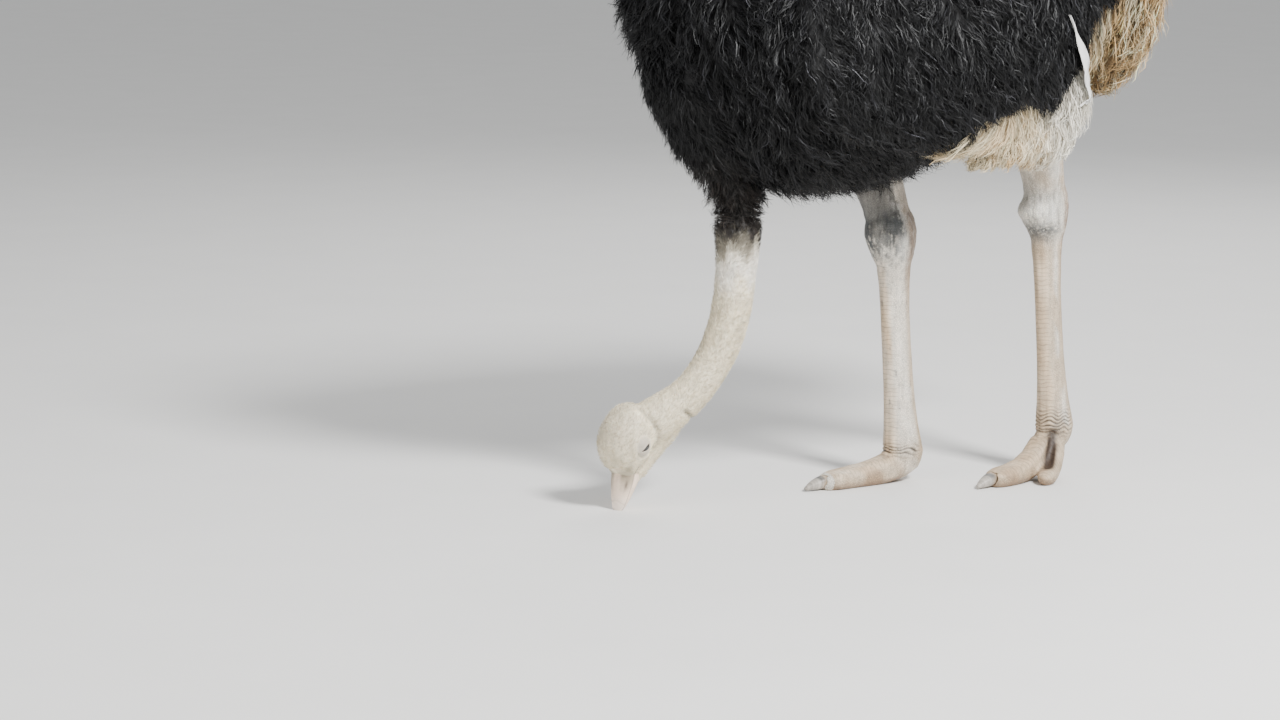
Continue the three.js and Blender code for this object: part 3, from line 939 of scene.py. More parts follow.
def scale_relief():
    """Relief of bird skin: plates in rows, small scales between them, fine wrinkles and grain."""
    inputs = {"Place": "Vector", "Rows": "Float", "Plates": "Float", "Leg": "Float"}
    outputs = {"Height": "Float", "Seams": "Float"}
    group, nodes, given, end = new_group("scale relief", inputs, outputs)
    row = nodes.math("ABSOLUTE", nodes.math("SUBTRACT", nodes.math("FRACT", given["Rows"]), 0.5))
    plate = nodes.ramp(row, 0.5, 0.36)
    cells = {"Vector": given["Place"], "Scale": 270.0}
    edge = nodes.add("ShaderNodeTexVoronoi", cells, feature="DISTANCE_TO_EDGE").outputs["Distance"]
    mosaic = nodes.mix_values(given["Plates"], nodes.ramp(edge, 0.0, 0.22), plate)
    wrinkle = nodes.noise(nodes.stretched(given["Place"], (1.0, 1.0, 0.14)), 190.0, 3.0, 0.6)
    leg = nodes.scaled(mosaic, 0.55, nodes.math("MULTIPLY", wrinkle, 0.8))
    follicles = nodes.noise(given["Place"], 420.0, 4.0, 0.65)
    bare = nodes.mix_values(given["Leg"], follicles, leg)
    grain = nodes.noise(given["Place"], 900.0, 3.0)
    seams = nodes.mix_values(given["Leg"], 1.0, mosaic)
    nodes.fill(end, {"Height": nodes.scaled(grain, 0.18, bare), "Seams": seams})
    return group


def wear_tint():
    """Soft blotches and fine flecks that break up a colour."""
    inputs = {"Colour": "Color", "Place": "Vector", "Amount": "Float"}
    group, nodes, given, end = new_group("wear tint", inputs, {"Tinted": "Color"})
    blotch = nodes.noise(given["Place"], 45.0, 5.0, 0.6)
    fleck = nodes.noise(given["Place"], 380.0, 2.0)
    swing = nodes.scaled(fleck, 0.5, nodes.math("SUBTRACT", blotch, 0.5))
    shade = nodes.scaled(nodes.math("SUBTRACT", swing, 0.25), given["Amount"], 1.0)
    nodes.fill(end, {"Tinted": nodes.mix(1.0, given["Colour"], shade, "MULTIPLY")})
    return group


def tinted(nodes, colour, amount):
    """The colour with wear over it."""
    inputs = {"Colour": colour, "Place": nodes.place(), "Amount": amount}
    return nodes.group(wear_tint, inputs)["Tinted"]


def skin_material():
    """Bare skin, coloured by its own marks, with paler plates and darker seams."""
    made, nodes, shader = material("skin")
    inputs = {name.title(): nodes.attribute(name) for name in ("rows", "plates", "leg")}
    relief = nodes.group(scale_relief, {"Place": nodes.place(), **inputs})
    seams = nodes.scaled(relief["Seams"], 0.38, 0.64)
    marks = nodes.mix(1.0, nodes.attribute("marks", "Color"), seams, "MULTIPLY")
    nodes.fill(shader, {
        "Base Color": tinted(nodes, marks, 0.75),
        "Roughness": nodes.scaled(relief["Height"], 0.18, 0.42),
        "Normal": nodes.bump(relief["Height"], 0.0009, 0.75),
        "Subsurface Weight": 0.08,
        "Subsurface Radius": (0.006, 0.003, 0.002),
    })
    return made


def feather_material(name, roughness, sheen, root_shade, gloss=0.3):
    """Feathers in their own coat's colour, with painted shade at the roots, streaked along their length."""
    made, nodes, shader = material(name)
    coat = nodes.add("ShaderNodeAttribute", attribute_name="coat").outputs
    root = nodes.scaled(coat["Alpha"], 1 - root_shade, root_shade)
    streak = nodes.noise(nodes.place((1.0, 1.0, 0.3)), 600.0, 2.0)
    nodes.fill(shader, {
        "Base Color": nodes.mix(1.0, tinted(nodes, coat["Color"], 0.55), root, "MULTIPLY"),
        "Roughness": nodes.scaled(streak, 0.24, roughness - 0.12),
        "Sheen Weight": sheen,
        "Sheen Roughness": 0.35,
        "Specular IOR Level": gloss,
    })
    return made


def horn_material(name, roughness):
    """Horn, coloured by its own marks, with growth lines and fine grain."""
    made, nodes, shader = material(name)
    grain = nodes.noise(nodes.place(), 700.0, 3.0)
    growth = nodes.noise(nodes.place((0.25, 0.25, 1.0)), 300.0, 2.0)
    nodes.fill(shader, {
        "Base Color": tinted(nodes, nodes.attribute("marks", "Color"), 0.6),
        "Roughness": nodes.scaled(grain, 0.25, roughness - 0.12),
        "Normal": nodes.bump(nodes.scaled(grain, 0.5, growth), 0.0005, 0.5),
    })
    return made


def eye_material(colours):
    """A flecked iris between a dark rim and a black pupil, under a wet coat."""
    made, nodes, shader = material("eye")
    angle = nodes.attribute("angle")
    flecks = nodes.noise(nodes.place(), 500.0, 4.0)
    iris = nodes.mix(flecks, rgba(colours.iris), (0.012, 0.006, 0.003, 1))
    iris = nodes.mix(nodes.ramp(angle, 0.66, 0.78), iris, (0.02, 0.014, 0.01, 1))
    pupil = nodes.mix(nodes.ramp(angle, 0.34, 0.37), (0.002, 0.002, 0.002, 1), iris)
    wet = nodes.scaled(flecks, 0.04, 0.03)
    nodes.fill(shader, {"Base Color": pupil, "Roughness": wet, "Coat Weight": 1.0})
    return made


# ---- plumage ----

BAKE_PATCH = 0.003  # of the map's side
# Lengths in metres, shares of the lock's length or depth, and numbers of strands and points.
PLUMAGE = {
    "length": 0.060, "spacing": 0.0128, "strands": 6, "points": 7, "steps": 4, "width": 0.0020,
    "scatter": 0.42, "sway": 0.60, "curve": 1.6, "height": 1.0, "lumps": 0.24, "droop": 0.6,
    "loose": 0.12, "root_spread": 0.80, "tip_spread": 0.40, "curl": 0.0050, "turns": 1.5,
    "strays": 0.12, "stray_lift": 0.014, "thick": 0.013, "roll": 0.9, "mottle_and_glints": 0.90, "blotch": 0.40,
}
NECK = {
    **PLUMAGE, "length": 0.040, "spacing": 0.0092, "points": 5, "width": 0.0013, "curl": 0.0025,
    "thick": 0.008, "scatter": 0.35, "sway": 0.35, "mottle_and_glints": 0.50,
}
PLUMES = {
    **PLUMAGE, "length": 0.090, "spacing": 0.0082, "width": 0.0022, "scatter": 0.20, "sway": 0.45,
    "loose": 0.30, "curl": 0.0045, "turns": 1.8, "tip_spread": 0.7, "mottle_and_glints": 0.10, "blotch": 0.12,
    "height": 1.05, "thick": 0.012, "strays": 0.15, "lumps": 0.34,
}
TAIL = {
    **PLUMES, "length": 0.130, "spacing": 0.0118, "width": 0.0026, "curl": 0.0075, "mottle_and_glints": 0.30,
    "blotch": 0.25, "lumps": 0.42, "sway": 0.50, "thick": 0.018,
}
FUZZ = {
    **PLUMAGE, "length": 0.010, "spacing": 0.0046, "strands": 3, "points": 4, "steps": 2, "width": 0.0007,
    "thick": 0.0015, "curl": 0.0006, "loose": 0.0, "height": 0.85, "mottle_and_glints": 0.10, "blotch": 0.04,
    "strays": 0.06, "stray_lift": 0.002, "lumps": 0.05, "sway": 0.15, "scatter": 0.28, "roll": 0.8,
}
TRIES = 5  # for each root, before those that fall in a cell already taken are dropped
CELL_PRIMES = [73856093, 19349663, 83492791]  # these tell one cell of space from another
BREAST_END = -0.30  # the black plumage's pieces part here, and at the back's lower edge
BACK_EDGE = 1.02
QUILL_LAYERS, QUILL_BARBS = 5, 260
BARB_LENGTH = 0.013
BARB_HALVES = (0.0011, 0.0010, 0.0008, 0.0004)  # half widths from the shaft to the tip


class Skin:
    """The finished skin as arrays, for rooting coats in it."""

    def __init__(self):
        mesh = bpy.data.objects["skin"].data
        mesh.calc_loop_triangles()
        self.points = numbers(mesh.vertices, "co", 3).astype(float)
        self.normals = normals_of(mesh)
        self.depth = numbers(mesh.attributes["depth"].data, "value", 1)
        self.triangles = numbers(mesh.loop_triangles, "vertices", 3, np.int32)
        loops = numbers(mesh.loop_triangles, "loops", 3, np.int32)
        self.unwrap = numbers(mesh.uv_layers["Unwrap"].uv, "vector", 2)[loops]
        corners = self.points[self.triangles]
        first = corners[:, 0]
        self.areas = np.linalg.norm(np.cross(corners[:, 1] - first, corners[:, 2] - first), axis=1) / 2
        self.centres = corners.mean(axis=1)
        self.owner = nearest_node(self.centres)
        self.tree = BVHTree.FromPolygons(self.points.tolist(), self.triangles.tolist())

    def on(self, *nodes):
        return np.isin(self.owner, [FLESH.index(n) for n in nodes])

    def white(self):
        """The faces that carry white plumes: the plumes' own, and those of the wings' lower edge."""
        _, y, z = self.centres.T
        edge = np.interp(y, PLUME_EDGE_BACK, PLUME_EDGE_UP) + 0.028
        low = self.on("wing_left", "wing_right") & (z < edge) & (y > 0.02)
        return low | self.on("wing_plumes_left", "wing_plumes_right")

    def tan(self):
        """The faces that carry tan plumes: the tail's, and those of the trunk's end just above it."""
        _, y, z = self.centres.T
        near = self.on("trunk") & (y > 0.40) & (z < 0.985 + (y - 0.36) * 0.5)
        return near | self.on("tail")

    def roots(self, chosen, spacing, seed):
        """Evenly scattered places on the chosen faces: their points, normals and places on the map."""
        rng = np.random.default_rng(seed)
        faces = np.flatnonzero(chosen)
        areas = self.areas[faces]
        tries = int(areas.sum() / spacing**2 * TRIES)
        face = faces[np.searchsorted(np.cumsum(areas) / areas.sum(), rng.random(tries))]
        r1, r2 = np.sqrt(rng.random(tries)), rng.random(tries)
        share = np.stack([1 - r1, r1 * (1 - r2), r1 * r2], 1)
        points = weighted(share, self.points[self.triangles[face]])
        cells = np.floor(points / spacing + rng.random(3)).astype(np.int64)
        _, first = np.unique(cells @ CELL_PRIMES, return_index=True)
        face, share, points = face[first], share[first], points[first]
        corners = self.triangles[face]
        normals = unit(weighted(share, self.normals[corners]))
        return points, normals, weighted(share, self.unwrap[face])

    def under(self, points):
        """The skin's nearest point to each point, its normal, its depth and its face there."""
        found = [self.tree.find_nearest(p) for p in points.tolist()]
        place = np.array([f[0][:] for f in found])
        face = np.array([f[2] for f in found])
        corners = self.triangles[face]
        return place, unit(self.normals[corners].mean(axis=1)), self.depth[corners].mean(axis=1), face


@functools.lru_cache
def skin():
    """The finished skin, read once."""
    return Skin()


def flat_on(vectors, normals):
    """The part of each vector that lies along the surface."""
    return unit(vectors - normals * np.sum(vectors * normals, axis=1, keepdims=True))


def body_lie(points, normals):
    """Feathers lie back along the back, and hang down the flanks and the breast."""
    top = eased(normals[:, 2:], 0.35, 0.95)
    under = np.clip(-normals[:, 2:], 0, 1)
    rear = eased(points[:, 1:2], 0.30, 0.55) * (1 - top)
    sideways = np.sign(points[:, :1]) * np.array([[1.0, 0, 0]]) * top * 0.35
    want = DOWN * (1.0 - 0.6 * under) + BACK * (0.25 + 1.0 * top + 0.6 * under - 0.2 * rear) + sideways
    return flat_on(want, normals)


def plume_lie(points, normals):
    """White wing plumes hang down behind the wing, and a little forward under it."""
    turned = eased(-points[:, 2:], -0.86, -0.76) * eased(0.26 - points[:, 1:2], 0.0, 0.10)
    want = DOWN - BACK * turned * 0.45 + BACK * 0.05
    return flat_on(want, normals)


def plume_reach(points):
    """Plumes are short where the thigh comes out under them, and long behind it."""
    low = eased(0.80 - points[:, 2], 0.0, 0.03)
    over_thigh = low * eased(points[:, 1], 0.09, 0.13) * eased(0.275 - points[:, 1], 0.0, 0.03)
    return 1 - 0.72 * over_thigh


def tail_lie(points, normals):
    """Tan plumes hang down, and lie further back on top of the tail."""
    want = DOWN + BACK * 0.9 * eased(points[:, 2:], 1.08, 1.28)
    return flat_on(want, normals)


def fuzz_lie(points, normals):
    """Fuzz lies from the bill up the neck."""
    return flat_on(np.tile(-HEAD_AHEAD, (len(points), 1)) + BACK * 0.3, normals)


def guides(roots, normals, lie_of, style, seed, barred, reach_of):
    """The line that each lock follows: it leaves the skin, then runs along it at the coat's depth.

    Also gives the share of the line that is clear of the skin's barred faces.
    """
    rng = np.random.default_rng(seed)
    steps = style["steps"]
    count = len(roots)
    length = style["length"] * (1 + 0.18 * ripple(roots, 0.09, seed + 1))[:, None]
    length = length * rng.uniform(0.75, 1.25, (count, 1))
    if reach_of is not None:
        length = length * reach_of(roots)[:, None]
    sway = ripple(roots, 0.10, seed + 2) * style["sway"] + rng.normal(0, style["scatter"], count)
    loft = 1 + style["lumps"] * ripple(roots, 0.040, seed + 3) + rng.normal(0, 0.08, count)
    here, facing = roots, normals
    line = [roots]
    clear = np.ones(count)
    for k in range(1, steps + 1):
        way = lie_of(here, facing)
        way = unit(way + np.cross(facing, way) * sway[:, None])
        place, facing, depth, face = skin().under(here + way * length / steps)
        if barred is not None:
            clear = np.where(barred[face], np.minimum(clear, max(k - 0.6, 0.8) / steps), clear)
        rise = 1 - (1 - k / steps) ** style["curve"]
        held = place + facing * (depth * style["height"] * loft * rise)[:, None]
        loose = line[-1] + unit(way + DOWN * style["droop"] * k / steps) * length / steps
        line.append(held * (1 - style["loose"]) + loose * style["loose"])
        here = place
    return np.stack(line, 1), clear


def strand_faces(many, stations):
    """Quads down each strand and a triangle at its tip. Each station has two points, and the tip one."""
    per = 2 * stations - 1
    base = (np.arange(many) * per)[:, None, None]
    rows = np.arange(stations - 2)[None, :, None] * 2
    quads = (base + rows + np.array([0, 1, 3, 2])[None, None]).reshape(-1, 4)
    tips = (base[:, 0] + np.array([[per - 3, per - 2, per - 1]])).reshape(-1, 3)
    return [quads, tips]


def strand_points(spot, edge, half):
    """The two sides of each strand, and its tip."""
    left, right = spot - edge * half, spot + edge * half
    sides = np.stack([left[:, :-1], right[:, :-1]], 2).reshape(len(spot), -1, 3)
    return np.concatenate([sides, spot[:, -1:]], 1)


def lock_strands(line, clear, normals, style, rng):
    """The middle line of each strand of each lock, curled, with its sideways and outward directions."""
    locks, stations = line.shape[:2]
    lock = np.repeat(np.arange(locks), style["strands"])
    many = len(lock)
    reach = np.minimum(rng.uniform(0.68, 1.12, many), clear[lock] * rng.uniform(0.85, 1.1, many))
    share = np.linspace(0, 1, style["points"])
    place = np.clip(share[None] * reach[:, None], 0, 1) * (stations - 1)
    first = np.minimum(place.astype(int), stations - 2)
    t = (place - first)[..., None]
    spot = line[lock[:, None], first] * (1 - t) + line[lock[:, None], first + 1] * t
    along = unit(np.gradient(spot, axis=1))
    across = unit(np.cross(along, normals[lock][:, None]))
    lift = np.cross(across, along)
    gather = (1 - (1 - style["tip_spread"]) * share)[None, :, None]
    offset = rng.uniform(-1, 1, (many, 2)) * style["spacing"] * style["root_spread"]
    turns = rng.uniform(0.7, 1.3, (many, 1)) * style["turns"]
    phase = rng.uniform(0, 2 * math.pi, (many, 1)) + 2.2 * rng.random(locks)[lock][:, None]
    curl = style["curl"] * rng.uniform(0.4, 1.4, (many, 1)) * share[None] ** 0.8
    wave = (curl * np.sin(turns * 2 * math.pi * share[None] + phase))[..., None]
    swell = (curl * 0.7 * np.cos(turns * 2 * math.pi * share[None] + phase))[..., None]
    stray = np.where(rng.random(many) < style["strays"], style["stray_lift"], 0.0)
    lifted = rng.uniform(-0.6, 0.4, many) * style["thick"] + stray * rng.random(many)
    spot = spot + across * (offset[:, :1, None] * gather + wave) + along * offset[:, 1:, None]
    spot = spot + lift * (lifted[:, None, None] * share[None, :, None] + swell)
    spot[..., 2] = np.maximum(spot[..., 2], 0.002)
    return lock, share, spot, across, lift


def strand_mesh(name, spot, edge, half, tone, places, strands=1, root=0.0):
    """A coat's mesh, from each strand's middle line, its sideways directions and its half widths.

    The attribute "coat" keeps each strand's tone, and how far each point is from its root. The map
    OFBake lays each lock out as a small patch at its root's place on the skin's own map.
    """
    many, stations = spot.shape[:2]
    points = strand_points(spot, edge, half)
    mesh = mesh_from(name, points.reshape(-1, 3), strand_faces(many, stations))
    share = np.append(np.repeat(np.linspace(0, 1, stations)[:-1], 2), 1.0)
    coat = np.empty((many, len(share), 4))
    coat[..., :3] = np.clip(tone, 0.001, 1)[:, None]
    # The alpha rises from root to tip; the material lays painted shade where it is low.
    coat[..., 3] = root + (1 - root) * share
    add_values(mesh, "coat", coat, "FLOAT_COLOR")
    column = (np.arange(many) % strands)[:, None] / strands
    sides = np.append(np.tile([0.0, 1.0], stations - 1), 0.5)
    u = places[:, :1] + BAKE_PATCH * (column + sides / strands - 0.5)
    v = places[:, 1:] + BAKE_PATCH * (share - 0.5)
    patch = np.stack([u, v], -1).reshape(-1, 2)
    corners = numbers(mesh.loops, "vertex_index", 1, np.int32)
    layer = mesh.uv_layers.new(name="OFBake")
    layer.uv.foreach_set("vector", patch[corners].astype(np.float32).ravel())
    return mesh


def coat_piece(
    name, chosen, lie_of, style, seed, made, slot, colour_of, nodes=(), barred=None, reach_of=None
):
    """A piece of plumage: locks of tapered, curling strands, rooted evenly over the chosen skin."""
    rng = np.random.default_rng(seed)
    roots, normals, unwrap = skin().roots(chosen, style["spacing"], seed)
    line, clear = guides(roots, normals, lie_of, style, seed, barred, reach_of)
    lock, share, spot, across, lift = lock_strands(line, clear, normals, style, rng)
    many = len(lock)
    roll = rng.normal(0, style["roll"], (many, 1, 1))
    edge = across * np.cos(roll) + lift * np.sin(roll)
    width = style["width"] * rng.uniform(0.6, 1.3, (many, 1))
    taper = np.sqrt(np.clip(1 - share**2.2, 0, 1))
    taper = taper * (0.55 + 0.45 * np.sin(np.pi * np.clip(share + 0.12, 0, 1)))
    # Tone differs at random between locks and strands; in the black plumage the brightest strands are
    # painted glints.
    tone = colour_of(roots) * (1 + style["blotch"] * ripple(roots, 0.035, seed + 5))[:, None]
    tone = tone * (1 + rng.normal(0, style["mottle_and_glints"] / 2, (len(roots), 1)))
    tone = tone[lock] * np.exp(rng.normal(0, style["mottle_and_glints"], (many, 1)))
    half = (width * taper / 2)[..., None]
    mesh = strand_mesh(name, spot, edge, half, tone, unwrap[lock], style["strands"])
    return piece_from(name, mesh, made, slot, *nodes)


# ---- settings ----


def size_property(name, description, default, **kind):
    return FloatProperty(name=name, description=description, default=default, **kind)


def colour_property(name, description, default):
    return FloatVectorProperty(name=name, description=description, default=default, subtype="COLOR", size=3)


length_property = functools.partial(size_property, unit="LENGTH")
angle_property = functools.partial(size_property, subtype="ANGLE")


class OSTRICH_PG_sizes(bpy.types.PropertyGroup):
    """The sizes of the skin and the coats."""

    skin_grain: length_property("Skin grain", "Size of the skin's faces", 0.004)
    coat_depth: length_property("Coat depth", "Depth of the body plumage", 0.040)
    neck_coat: length_property("Neck coat", "Depth of the fuzz on the head and neck", 0.004)
    bare_coat: length_property("Bare skin", "Depth left over bare skin", 0.0006)
    lid_length: angle_property("Lid length", "Half the width of the eye's opening", 0.76)
    lid_upper: angle_property("Upper lid", "How far the eye opens above its middle", 0.16)
    lid_lower: angle_property("Lower lid", "How far the eye opens below its middle", 0.20)


class OSTRICH_PG_colours(bpy.types.PropertyGroup):
    """The colours of the skin, the plumage and the horn."""

    black: colour_property("Black", "Body plumage", (0.0042, 0.0042, 0.0048))
    white: colour_property("White", "Wing plumes", (0.80, 0.76, 0.66))
    quill: colour_property("Quill", "Long white quills of the wings", (0.88, 0.87, 0.84))
    cream: colour_property("Cream", "Down under the wings and pale tail plumes", (0.78, 0.66, 0.44))
    # Cream: also the tail's paler clumps, partly a painted highlight.
    tan: colour_property("Tan", "Tail plumes", (0.60, 0.40, 0.19))
    # Tail shade: painted shade between the tail's plumes.
    tail_painted_shade: colour_property("Tail shade", "Darkest tail plumes", (0.17, 0.10, 0.045))
    neck_black: colour_property("Neck's black", "Thin plumage low on the neck", (0.026, 0.020, 0.016))
    neck_skin: colour_property("Neck", "Fuzz and skin of the head and neck", (0.75, 0.670, 0.500))
    # Neck ring: also the hocks' pale knobs, partly a painted highlight, and their pale streaks.
    neck_ring: colour_property("Neck ring", "Pale ring under the black plumage", (0.84, 0.81, 0.75))
    crown: colour_property("Crown", "Darker fuzz on the crown", (0.36, 0.31, 0.26))
    # Lore and lid: partly darker skin, partly painted shade around the eye.
    lore: colour_property("Lore", "Skin between the eye and the bill", (0.30, 0.25, 0.17))
    lid: colour_property("Lid", "Eyelids", (0.36, 0.32, 0.29))
    leg_skin: colour_property("Leg", "Bare skin of the legs", (0.74, 0.69, 0.60))
    leg_edge: colour_property("Leg edge", "Tan edges of the legs and toes", (0.50, 0.37, 0.24))
    # Hock: partly grey skin and partly painted shade, and the painted shade around the knobs.
    hock: colour_property("Hock", "Grey skin of the hocks", (0.105, 0.11, 0.11))
    # Toe gap: painted shade between the toes.
    gap: colour_property("Toe gap", "Soil between the toes", (0.045, 0.028, 0.018))
    # Hock's rear: also the painted shade on the soles, and the brown patches low on the feet.
    hock_edge: colour_property("Hock's rear", "Brown skin behind the hocks", (0.24, 0.14, 0.08))
    bill: colour_property("Bill", "Horn of the bill", (0.86, 0.68, 0.53))
    bill_tip: colour_property("Bill tip", "Paler tip of the bill", (0.90, 0.77, 0.66))
    claw: colour_property("Claw", "Horn of the claws", (0.46, 0.42, 0.37))
    iris: colour_property("Iris", "Eye", (0.035, 0.016, 0.008))


# ---- pieces ----


class Maker:
    """What every operator here shares: the settings, and an answer when it is done."""

    bl_options = {"REGISTER", "UNDO"}

    def execute(self, context):
        self.make(context.scene.ostrich_sizes, context.scene.ostrich_colours)
        return {"FINISHED"}


class OSTRICH_OT_skin(Maker, bpy.types.Operator):
    """Make one skin over all the flesh, with lids around the eyes"""

    bl_idname = "ostrich.skin"
    bl_label = "Skin"

    def make(self, sizes, colours):
        mesh = skin_mesh(sizes)
        points, _ = arrays_of(mesh)
        # The marks carry the folds' painted shade, and a painted highlight on the cheeks and knobs.
        add_marks(mesh, shaded(markings(points, colours), folds(points)[1]))
        nodes = [n for n in FLESH if "tail" not in n and "plumes" not in n]
        piece_from("skin", mesh, skin_material(), "skin", *nodes)


class OSTRICH_OT_eyes(Maker, bpy.types.Operator):
    """Make the two eyeballs"""

    bl_idname = "ostrich.eyes"
    bl_label = "Eyes"

    def make(self, sizes, colours):
        made = eye_material(colours)
        angle = np.linspace(0.02, math.pi - 0.02, EYE_RINGS)
        turn = np.linspace(0, 2 * math.pi, EYE_SIDES, endpoint=False)
        radius = EYE_SIZE - 0.0002 + 0.0008 * (1 - eased(angle, 0.3, 0.8))
        for name, left in SIDES.items():
            out, _, _ = lid_frame(left)
            side = unit(np.cross(out, HEAD_AHEAD))
            ring = np.outer(np.cos(turn), side) + np.outer(np.sin(turn), np.cross(out, side))
            spots = (np.cos(angle) * radius)[:, None, None] * out
            spots = spots + (np.sin(angle) * radius)[:, None, None] * ring
            points = middle_of(f"eye_{name}") + spots.reshape(-1, 3)
            quads, caps = ring_faces(EYE_RINGS, EYE_SIDES)
            mesh = mesh_from(f"eyeball_{name}", points, [quads[:, [0, 3, 2, 1]], caps[:, ::-1]])
            add_values(mesh, "angle", np.repeat(angle, EYE_SIDES))
            piece_from(f"eyeball_{name}", mesh, made, "eye", f"eye_{name}")


def bill_details(points):
    """How far each point of the bill sinks, and how much painted shade darkens it, at nostrils and gape."""
    ahead, up, left = head_distances(points)
    side = np.abs(left)
    upper = up > gape_up(ahead)
    slot = up + 0.0095 + 0.16 * (ahead - 0.078)
    nostril = groove(ahead - 0.078, 0.0085) * groove(slot, 0.0019) * (side > 0.006)
    channel = groove(slot, 0.0048) * eased(0.108 - ahead, 0.0, 0.02) * (side > 0.007) * upper
    gape = groove(up - gape_up(ahead), 0.0011)
    nail = groove(ahead - 0.112 - 0.35 * np.clip(side - 0.004, 0, 1), 0.0016) * upper
    sunk = 0.0030 * nostril + 0.0011 * channel + 0.0008 * gape + 0.0004 * nail
    return sunk, 0.42 * nostril + 0.18 * channel + 0.60 * gape + 0.15 * nail


def bill_markings(points, colours):
    """Brown at the base, pink on the ridge and the lower half, and pale at the tip."""
    ahead, up, left = head_distances(points)
    above = up > gape_up(ahead) + 0.001
    lore = eased(0.094 - ahead, -0.004, 0.034) * eased(np.abs(left), 0.006, 0.014) * above
    tip = eased(ahead, 0.092, 0.130)
    return layered(all_of(points, colours.bill), (tip, colours.bill_tip), (lore * 0.8, colours.lore))


class OSTRICH_OT_bill(Maker, bpy.types.Operator):
    """Make the two halves of the bill"""

    bl_idname = "ostrich.bill"
    bl_label = "Bill"

    def make(self, sizes, colours):
        made = horn_material("bill horn", 0.42)
        for name, rows in BILL.items():
            stations = [(in_head(ahead, gape_up(ahead)), *halves) for ahead, *halves in rows]
            points, faces = tube(stations, HEAD_LEFT, rings=96, sides=88, squareness=2.2)
            sunk, shade = bill_details(points)
            normals = normals_of(mesh_from("plain", points, faces))
            points = above_floor(points - normals * sunk[:, None])
            mesh = mesh_from(f"bill_half_{name}", points, faces)
            add_marks(mesh, shaded(bill_markings(points, colours), shade))
            piece_from(f"bill_half_{name}", mesh, made, "bill", f"bill_{name}")


class OSTRICH_OT_claws(Maker, bpy.types.Operator):
    """Make the nail of each big toe"""

    bl_idname = "ostrich.claws"
    bl_label = "Claws"

    def make(self, sizes, colours):
        made = horn_material("claw horn", 0.45)
        for name in SIDES:
            way = toe_way(name)
            middle = middle_of(f"claw_{name}")
            middle[2] = 0
            stations = [(middle + way * ahead + [0, 0, up], *halves) for ahead, up, *halves in NAIL]
            points, faces = tube(stations, [1.0, 0.0, 0.0], rings=48, sides=44, squareness=2.2)
            mesh = mesh_from(f"nail_{name}", above_floor(points), faces)
            reach = (points - middle) @ way
            spot = groove(reach + 0.006, 0.008) * eased(points[:, 2], 0.016, 0.028)
            marks = layered(
                all_of(points, colours.claw),
                (eased(-reach, -0.002, 0.020), colours.leg_edge),
                (spot * 0.85, colours.hock),
            )
            growth = clouds(points @ np.outer(way, way), 0.006, 51)
            add_marks(mesh, shaded(marks, 0.35 * growth))
            piece_from(f"nail_{name}", mesh, made, "claw", f"claw_{name}")


class OSTRICH_OT_black_plumage(Maker, bpy.types.Operator):
    """Grow the black plumage of the body, the wings and the neck's base"""

    bl_idname = "ostrich.black_plumage"
    bl_label = "Black plumage"

    def make(self, sizes, colours):
        made = feather_material("black plumage", 0.50, 0.03, 0.30, 0.31)
        hide = skin()
        x, y, z = hide.centres.T
        pale = hide.white() | hide.tan()
        trunk = hide.on("trunk") & ~pale
        behind = trunk & (y >= BREAST_END)
        parts = {
            "breast": trunk & (y < BREAST_END),
            "back": behind & (z > BACK_EDGE),
            "belly": behind & (z <= BACK_EDGE),
            "wing": hide.on("wing_left", "wing_right") & ~pale,
        }

        def black(points):
            return all_of(points, colours.black)

        def neck_colour(points):
            return markings(scattered(points), colours)

        def neck_reach(points):
            return 0.45 + 0.55 * eased(points[:, 2], 0.56, 0.74)

        for number, (part, chosen) in enumerate(parts.items()):
            for side, half in (("left", x >= 0), ("right", x < 0)):
                seed = 100 + number * 20 + (side == "left")
                coat_piece(
                    f"plumage_{part}_{side}", chosen & half, body_lie, PLUMAGE, seed, made,
                    "black_plumage", black, barred=pale,
                )
        coat_piece(
            "plumage_neck", hide.on("neck_base"), body_lie, NECK, 190, made, "black_plumage",
            neck_colour, reach_of=neck_reach,
        )


def quill_line(side):
    """Places of the quills' shafts down the wing's rear edge, their outward directions and depths."""
    line = through(np.array(QUILL_LINE) * [side, 1, 1], np.linspace(0, 1, 9))
    under, outward, depth, _ = skin().under(line)
    for _ in range(3):
        under[1:-1] = (under[:-2] + 2 * under[1:-1] + under[2:]) / 4
        outward[1:-1] = unit(outward[:-2] + 2 * outward[1:-1] + outward[2:])
    return under, outward, depth


